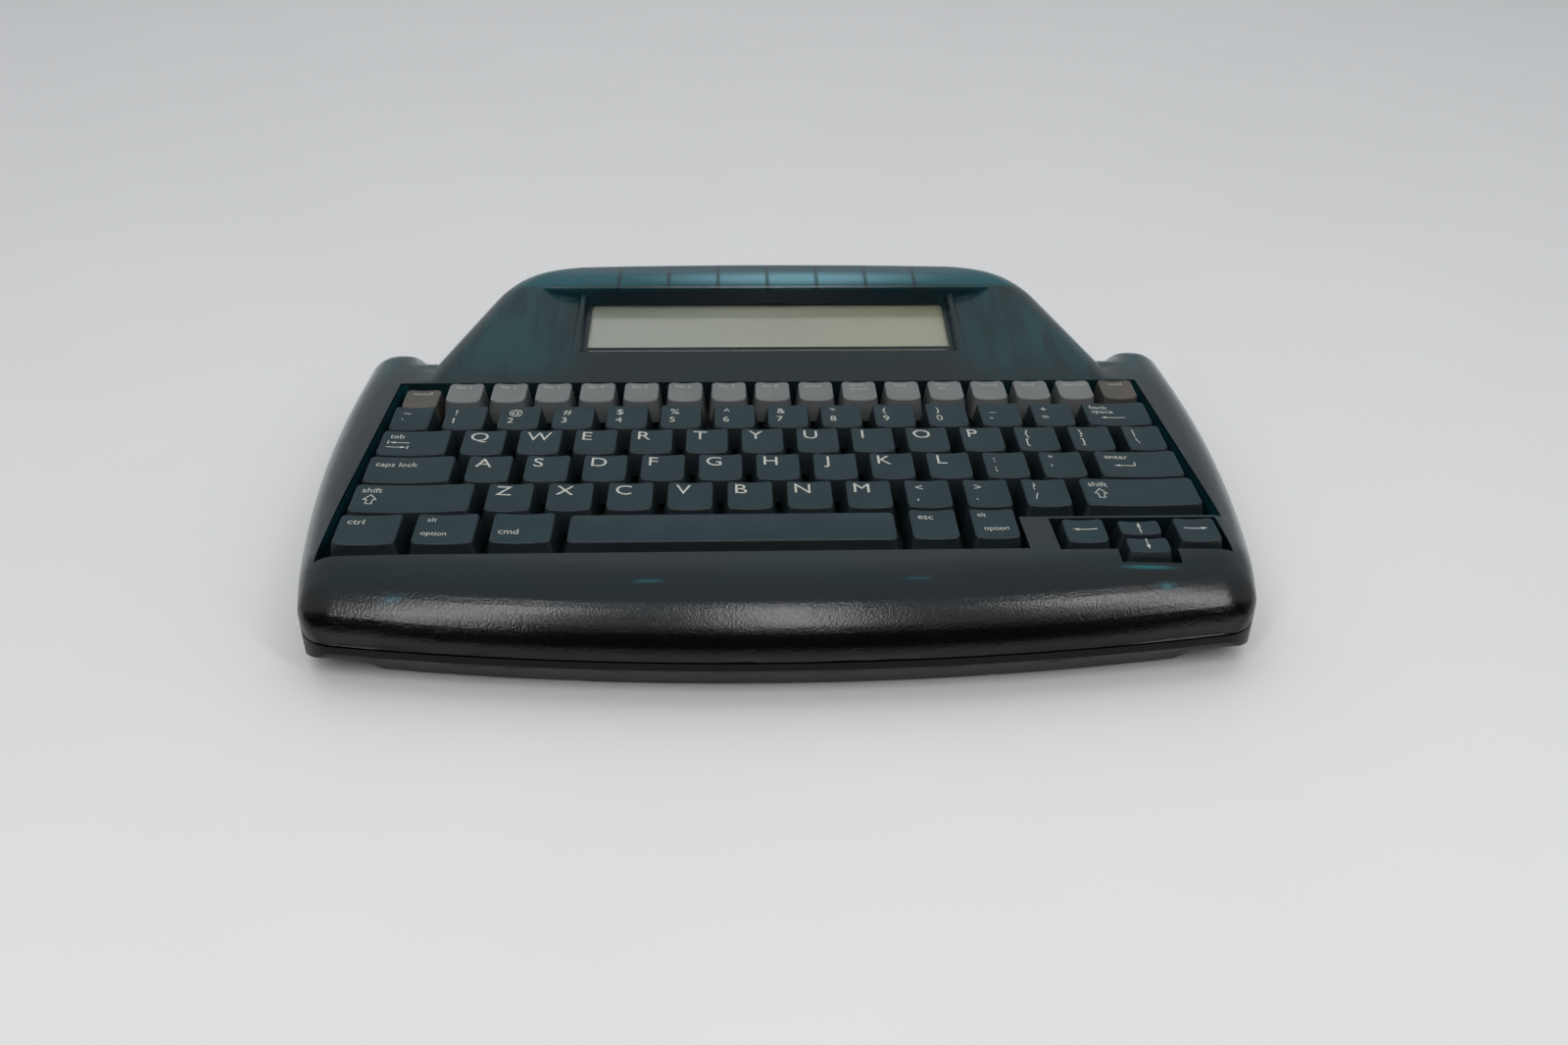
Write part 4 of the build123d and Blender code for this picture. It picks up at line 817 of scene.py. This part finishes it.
for node, legend, width, depth, x, y, drop, side in keys:
    if node not in caps:
        caps[node] = bmesh.new()
    add_cap(caps[node], width, depth, x, y, drop, side, node == "key_space_bar")
for node, bm in caps.items():
    bmesh.ops.scale(bm, vec=(MM, MM, MM), verts=bm.verts)
    mesh = bpy.data.meshes.new("cap_" + node)
    bm.to_mesh(mesh)
    bm.free()
    cap = place_mesh("cap_" + node, mesh)
    weighted = cap.modifiers.new("even_normals", "WEIGHTED_NORMAL")
    weighted.keep_sharp = True
    finish, slot = FINISHES.get(node, (key_plastic, "key_plastic"))
    cap.data.materials.append(finish)
    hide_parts(node)
    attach(cap, node)

# ---- Legends ------------------------------------------------------------------------------------
# Pad-printed cream ink, a few hundredths of a millimetre thick, laid on the dished tops of the
# caps. Letters are large, and the words small and lower case.

INK, LINE, THIN_LINE = 0.06, 0.38, 0.34
STRIP = 1.2
INK_LOW, INK_HIGH = (0.44, 0.44, 0.395), (0.52, 0.52, 0.47)
FAINT_LOW, FAINT_HIGH = (0.37, 0.365, 0.345), (0.42, 0.41, 0.39)
legend_ink = plain_finish("legend_ink", INK_LOW, INK_HIGH, 700, 0.5, 0.65)
faint_ink = plain_finish("faint_legend_ink", FAINT_LOW, FAINT_HIGH, 700, 0.5, 0.65)


def lay_down(bm, key):
    """Moves a flat print from a cap's own plane on to its dished top, in millimetres."""
    node, legend, width, depth, key_x, key_y, drop, side = key
    for vert in bm.verts:
        vert.co.z = top_height(width, depth, vert.co.x, vert.co.y, drop, side) + INK
    bmesh.ops.translate(bm, vec=(key_x, key_y, 0), verts=bm.verts)


def add_words(target, key, words, size, left, base, wide=1.0):
    """Prints words on a cap, so far from its top's left edge and their foot from the rear edge."""
    node, legend, width, depth, key_x, key_y, drop, side = key
    curve = bpy.data.curves.new("words", "FONT")
    curve.body = words
    curve.size = size
    scratch = bpy.data.objects.new("words", curve)
    mesh = bpy.data.meshes.new_from_object(scratch)
    bm = bmesh.new()
    bm.from_mesh(mesh)
    bmesh.ops.remove_doubles(bm, verts=bm.verts, dist=1e-4)
    bmesh.ops.scale(bm, vec=(wide, 1, 1), verts=bm.verts)
    start = min(vert.co.x for vert in bm.verts)
    place = (side - width / 2 + left - start, depth / 2 - REAR - base, 0)
    bmesh.ops.translate(bm, vec=place, verts=bm.verts)
    lay_down(bm, key)
    bm.to_mesh(mesh)
    bm.free()
    target.from_mesh(mesh)
    bpy.data.objects.remove(scratch)
    bpy.data.curves.remove(curve)
    bpy.data.meshes.remove(mesh)


def add_shape(target, key, points):
    """Prints one filled shape on a cap, its corners given from the top's left and rear edges."""
    node, legend, width, depth, key_x, key_y, drop, side = key
    bm = bmesh.new()
    left, rear = side - width / 2, depth / 2 - REAR
    face = bm.faces.new([bm.verts.new((left + px, rear - py, 0)) for px, py in points])
    face.normal_update()
    if face.normal.z < 0:
        face.normal_flip()
    low = min(vert.co.x for vert in bm.verts)
    high = max(vert.co.x for vert in bm.verts)
    steps = int((high - low) / STRIP) + 1
    cut_through(bm, [low + (high - low) * index / steps for index in range(1, steps)], (1, 0, 0))
    lay_down(bm, key)
    scratch = bpy.data.meshes.new("scratch")
    bm.to_mesh(scratch)
    bm.free()
    target.from_mesh(scratch)
    bpy.data.meshes.remove(scratch)


def add_line(target, key, points, line=LINE):
    """Prints a thin line through these points, measured as for a shape."""
    for (ax, ay), (bx, by) in zip(points, points[1:]):
        length = math.hypot(bx - ax, by - ay)
        ux, uy = (bx - ax) / length * line / 2, (by - ay) / length * line / 2
        corners = [(ax - ux - uy, ay - uy + ux), (ax - ux + uy, ay - uy - ux)]
        corners += [(bx + ux + uy, by + uy - ux), (bx + ux - uy, by + uy + ux)]
        add_shape(target, key, corners)


def add_arrow(target, key, tail, tip, head=2.0, broad=1.2):
    """Prints a straight arrow with a small filled head."""
    length = math.hypot(tip[0] - tail[0], tip[1] - tail[1])
    ux, uy = (tip[0] - tail[0]) / length, (tip[1] - tail[1]) / length
    neck = (tip[0] - ux * head, tip[1] - uy * head)
    add_line(target, key, [tail, neck])
    half = broad / 2
    barbs = [(neck[0] - uy * half, neck[1] + ux * half), (neck[0] + uy * half, neck[1] - ux * half)]
    add_shape(target, key, [tip] + barbs)


def add_hollow_arrow(target, key, tip_x, tip_y):
    """Prints the outline of a broad arrow that points to the rear."""
    add_line(target, key, [(tip_x + px, tip_y + py) for px, py in HOLLOW_ARROW], THIN_LINE)


HOLLOW_ARROW = (
    (0, 0), (2.0, 2.6), (0.95, 2.6), (0.95, 4.9), (-0.95, 4.9), (-0.95, 2.6), (-2.0, 2.6), (0, 0)
)
ARROW_MIDDLE = ARROW_WIDTH / 2 - SIDE
SHIFT_PRINTS = ((add_words, "shift", 3.8, 2.4, 4.8), (add_hollow_arrow, 5.6, 6.0))
PRINTS = {
    "key_arrow_left": ((add_arrow, (ARROW_MIDDLE + 3.7, 5.2), (ARROW_MIDDLE - 3.7, 5.2)),),
    "key_arrow_right": ((add_arrow, (ARROW_MIDDLE - 3.7, 5.2), (ARROW_MIDDLE + 3.7, 5.2)),),
    "key_arrow_up": ((add_arrow, (ARROW_MIDDLE, 5.9), (ARROW_MIDDLE, 0.8), 2.2),),
    "key_arrow_down": ((add_arrow, (ARROW_MIDDLE, 0.4), (ARROW_MIDDLE, 5.5), 2.2),),
    "key_backspace": (
        (add_words, "back", 3.4, 2.3, 4.6, 1.06),
        (add_words, "space", 3.4, 2.5, 7.4, 1.06),
        (add_arrow, (13.6, 10.3), (5.0, 10.3)),
    ),
    "key_tab": (
        (add_words, "tab", 3.7, 2.7, 4.9, 1.06),
        (add_arrow, (9.7, 7.6), (3.1, 7.6)),
        (add_line, [(2.7, 6.8), (2.7, 8.4)]),
        (add_arrow, (2.7, 10.4), (9.3, 10.4)),
        (add_line, [(9.7, 9.6), (9.7, 11.2)]),
    ),
    "key_enter": (
        (add_words, "enter", 3.7, 3.0, 4.8),
        (add_line, [(12.4, 7.0), (12.4, 8.7), (9.5, 8.7)]),
        (add_arrow, (9.8, 8.7), (5.2, 8.7)),
    ),
    "key_caps_lock": ((add_words, "caps lock", 3.6, 2.5, 6.0, 1.02),),
    "key_shift_left": SHIFT_PRINTS,
    "key_shift_right": SHIFT_PRINTS,
    "key_ctrl": ((add_words, "ctrl", 3.7, 2.5, 5.0, 1.04),),
    "key_alt_left": ((add_words, "alt", 2.9, 3.1, 4.0), (add_words, "option", 3.0, 2.2, 11.0)),
    "key_alt_right": ((add_words, "alt", 2.9, 2.1, 4.0), (add_words, "option", 3.0, 3.2, 11.0)),
    "key_cmd": ((add_words, "cmd", 3.7, 2.2, 10.7),),
    "key_esc": ((add_words, "esc", 3.7, 2.5, 5.0, 1.04),),
}


def prints_on(key):
    """What a cap bears: for each print, the helper that draws it and the helper's arguments."""
    node, legend, width, depth, x, y, drop, side = key
    if node in PRINTS:
        return PRINTS[node]
    if side == FUNCTION_SIDE and "\n" in legend:
        first, second = legend.split("\n")
        left = 2.9 if first == "spell" else 3.6
        return (add_words, first, 2.7, 2.9, 3.3, 1.1), (add_words, second, 2.7, left, 6.1, 1.1)
    if side == FUNCTION_SIDE:
        return ((add_words, legend, 2.8, 2.6 if len(legend) > 4 else 3.4, 3.9, 1.1),)
    if len(legend) == 1:
        return ((add_words, legend, 7.2, 3.4 if legend in "IJL" else 2.4, 6.6, 1.12),)
    return (add_words, legend[0], 4.9, 3.3, 5.9), (add_words, legend[1], 4.9, 3.1, 11.3)


legends = {}
for key in keys:
    node, legend = key[:2]
    if not legend:
        continue
    if node not in legends:
        legends[node] = bmesh.new()
    for draw, *given in prints_on(key):
        draw(legends[node], key, *given)
for node, bm in legends.items():
    bmesh.ops.scale(bm, vec=(MM, MM, MM), verts=bm.verts)
    mesh = bpy.data.meshes.new("legend_" + node)
    bm.to_mesh(mesh)
    bm.free()
    sheet = place_mesh("legend_" + node, mesh)
    sheet.data.materials.append(faint_ink if node in FINISHES else legend_ink)
    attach(sheet, node)
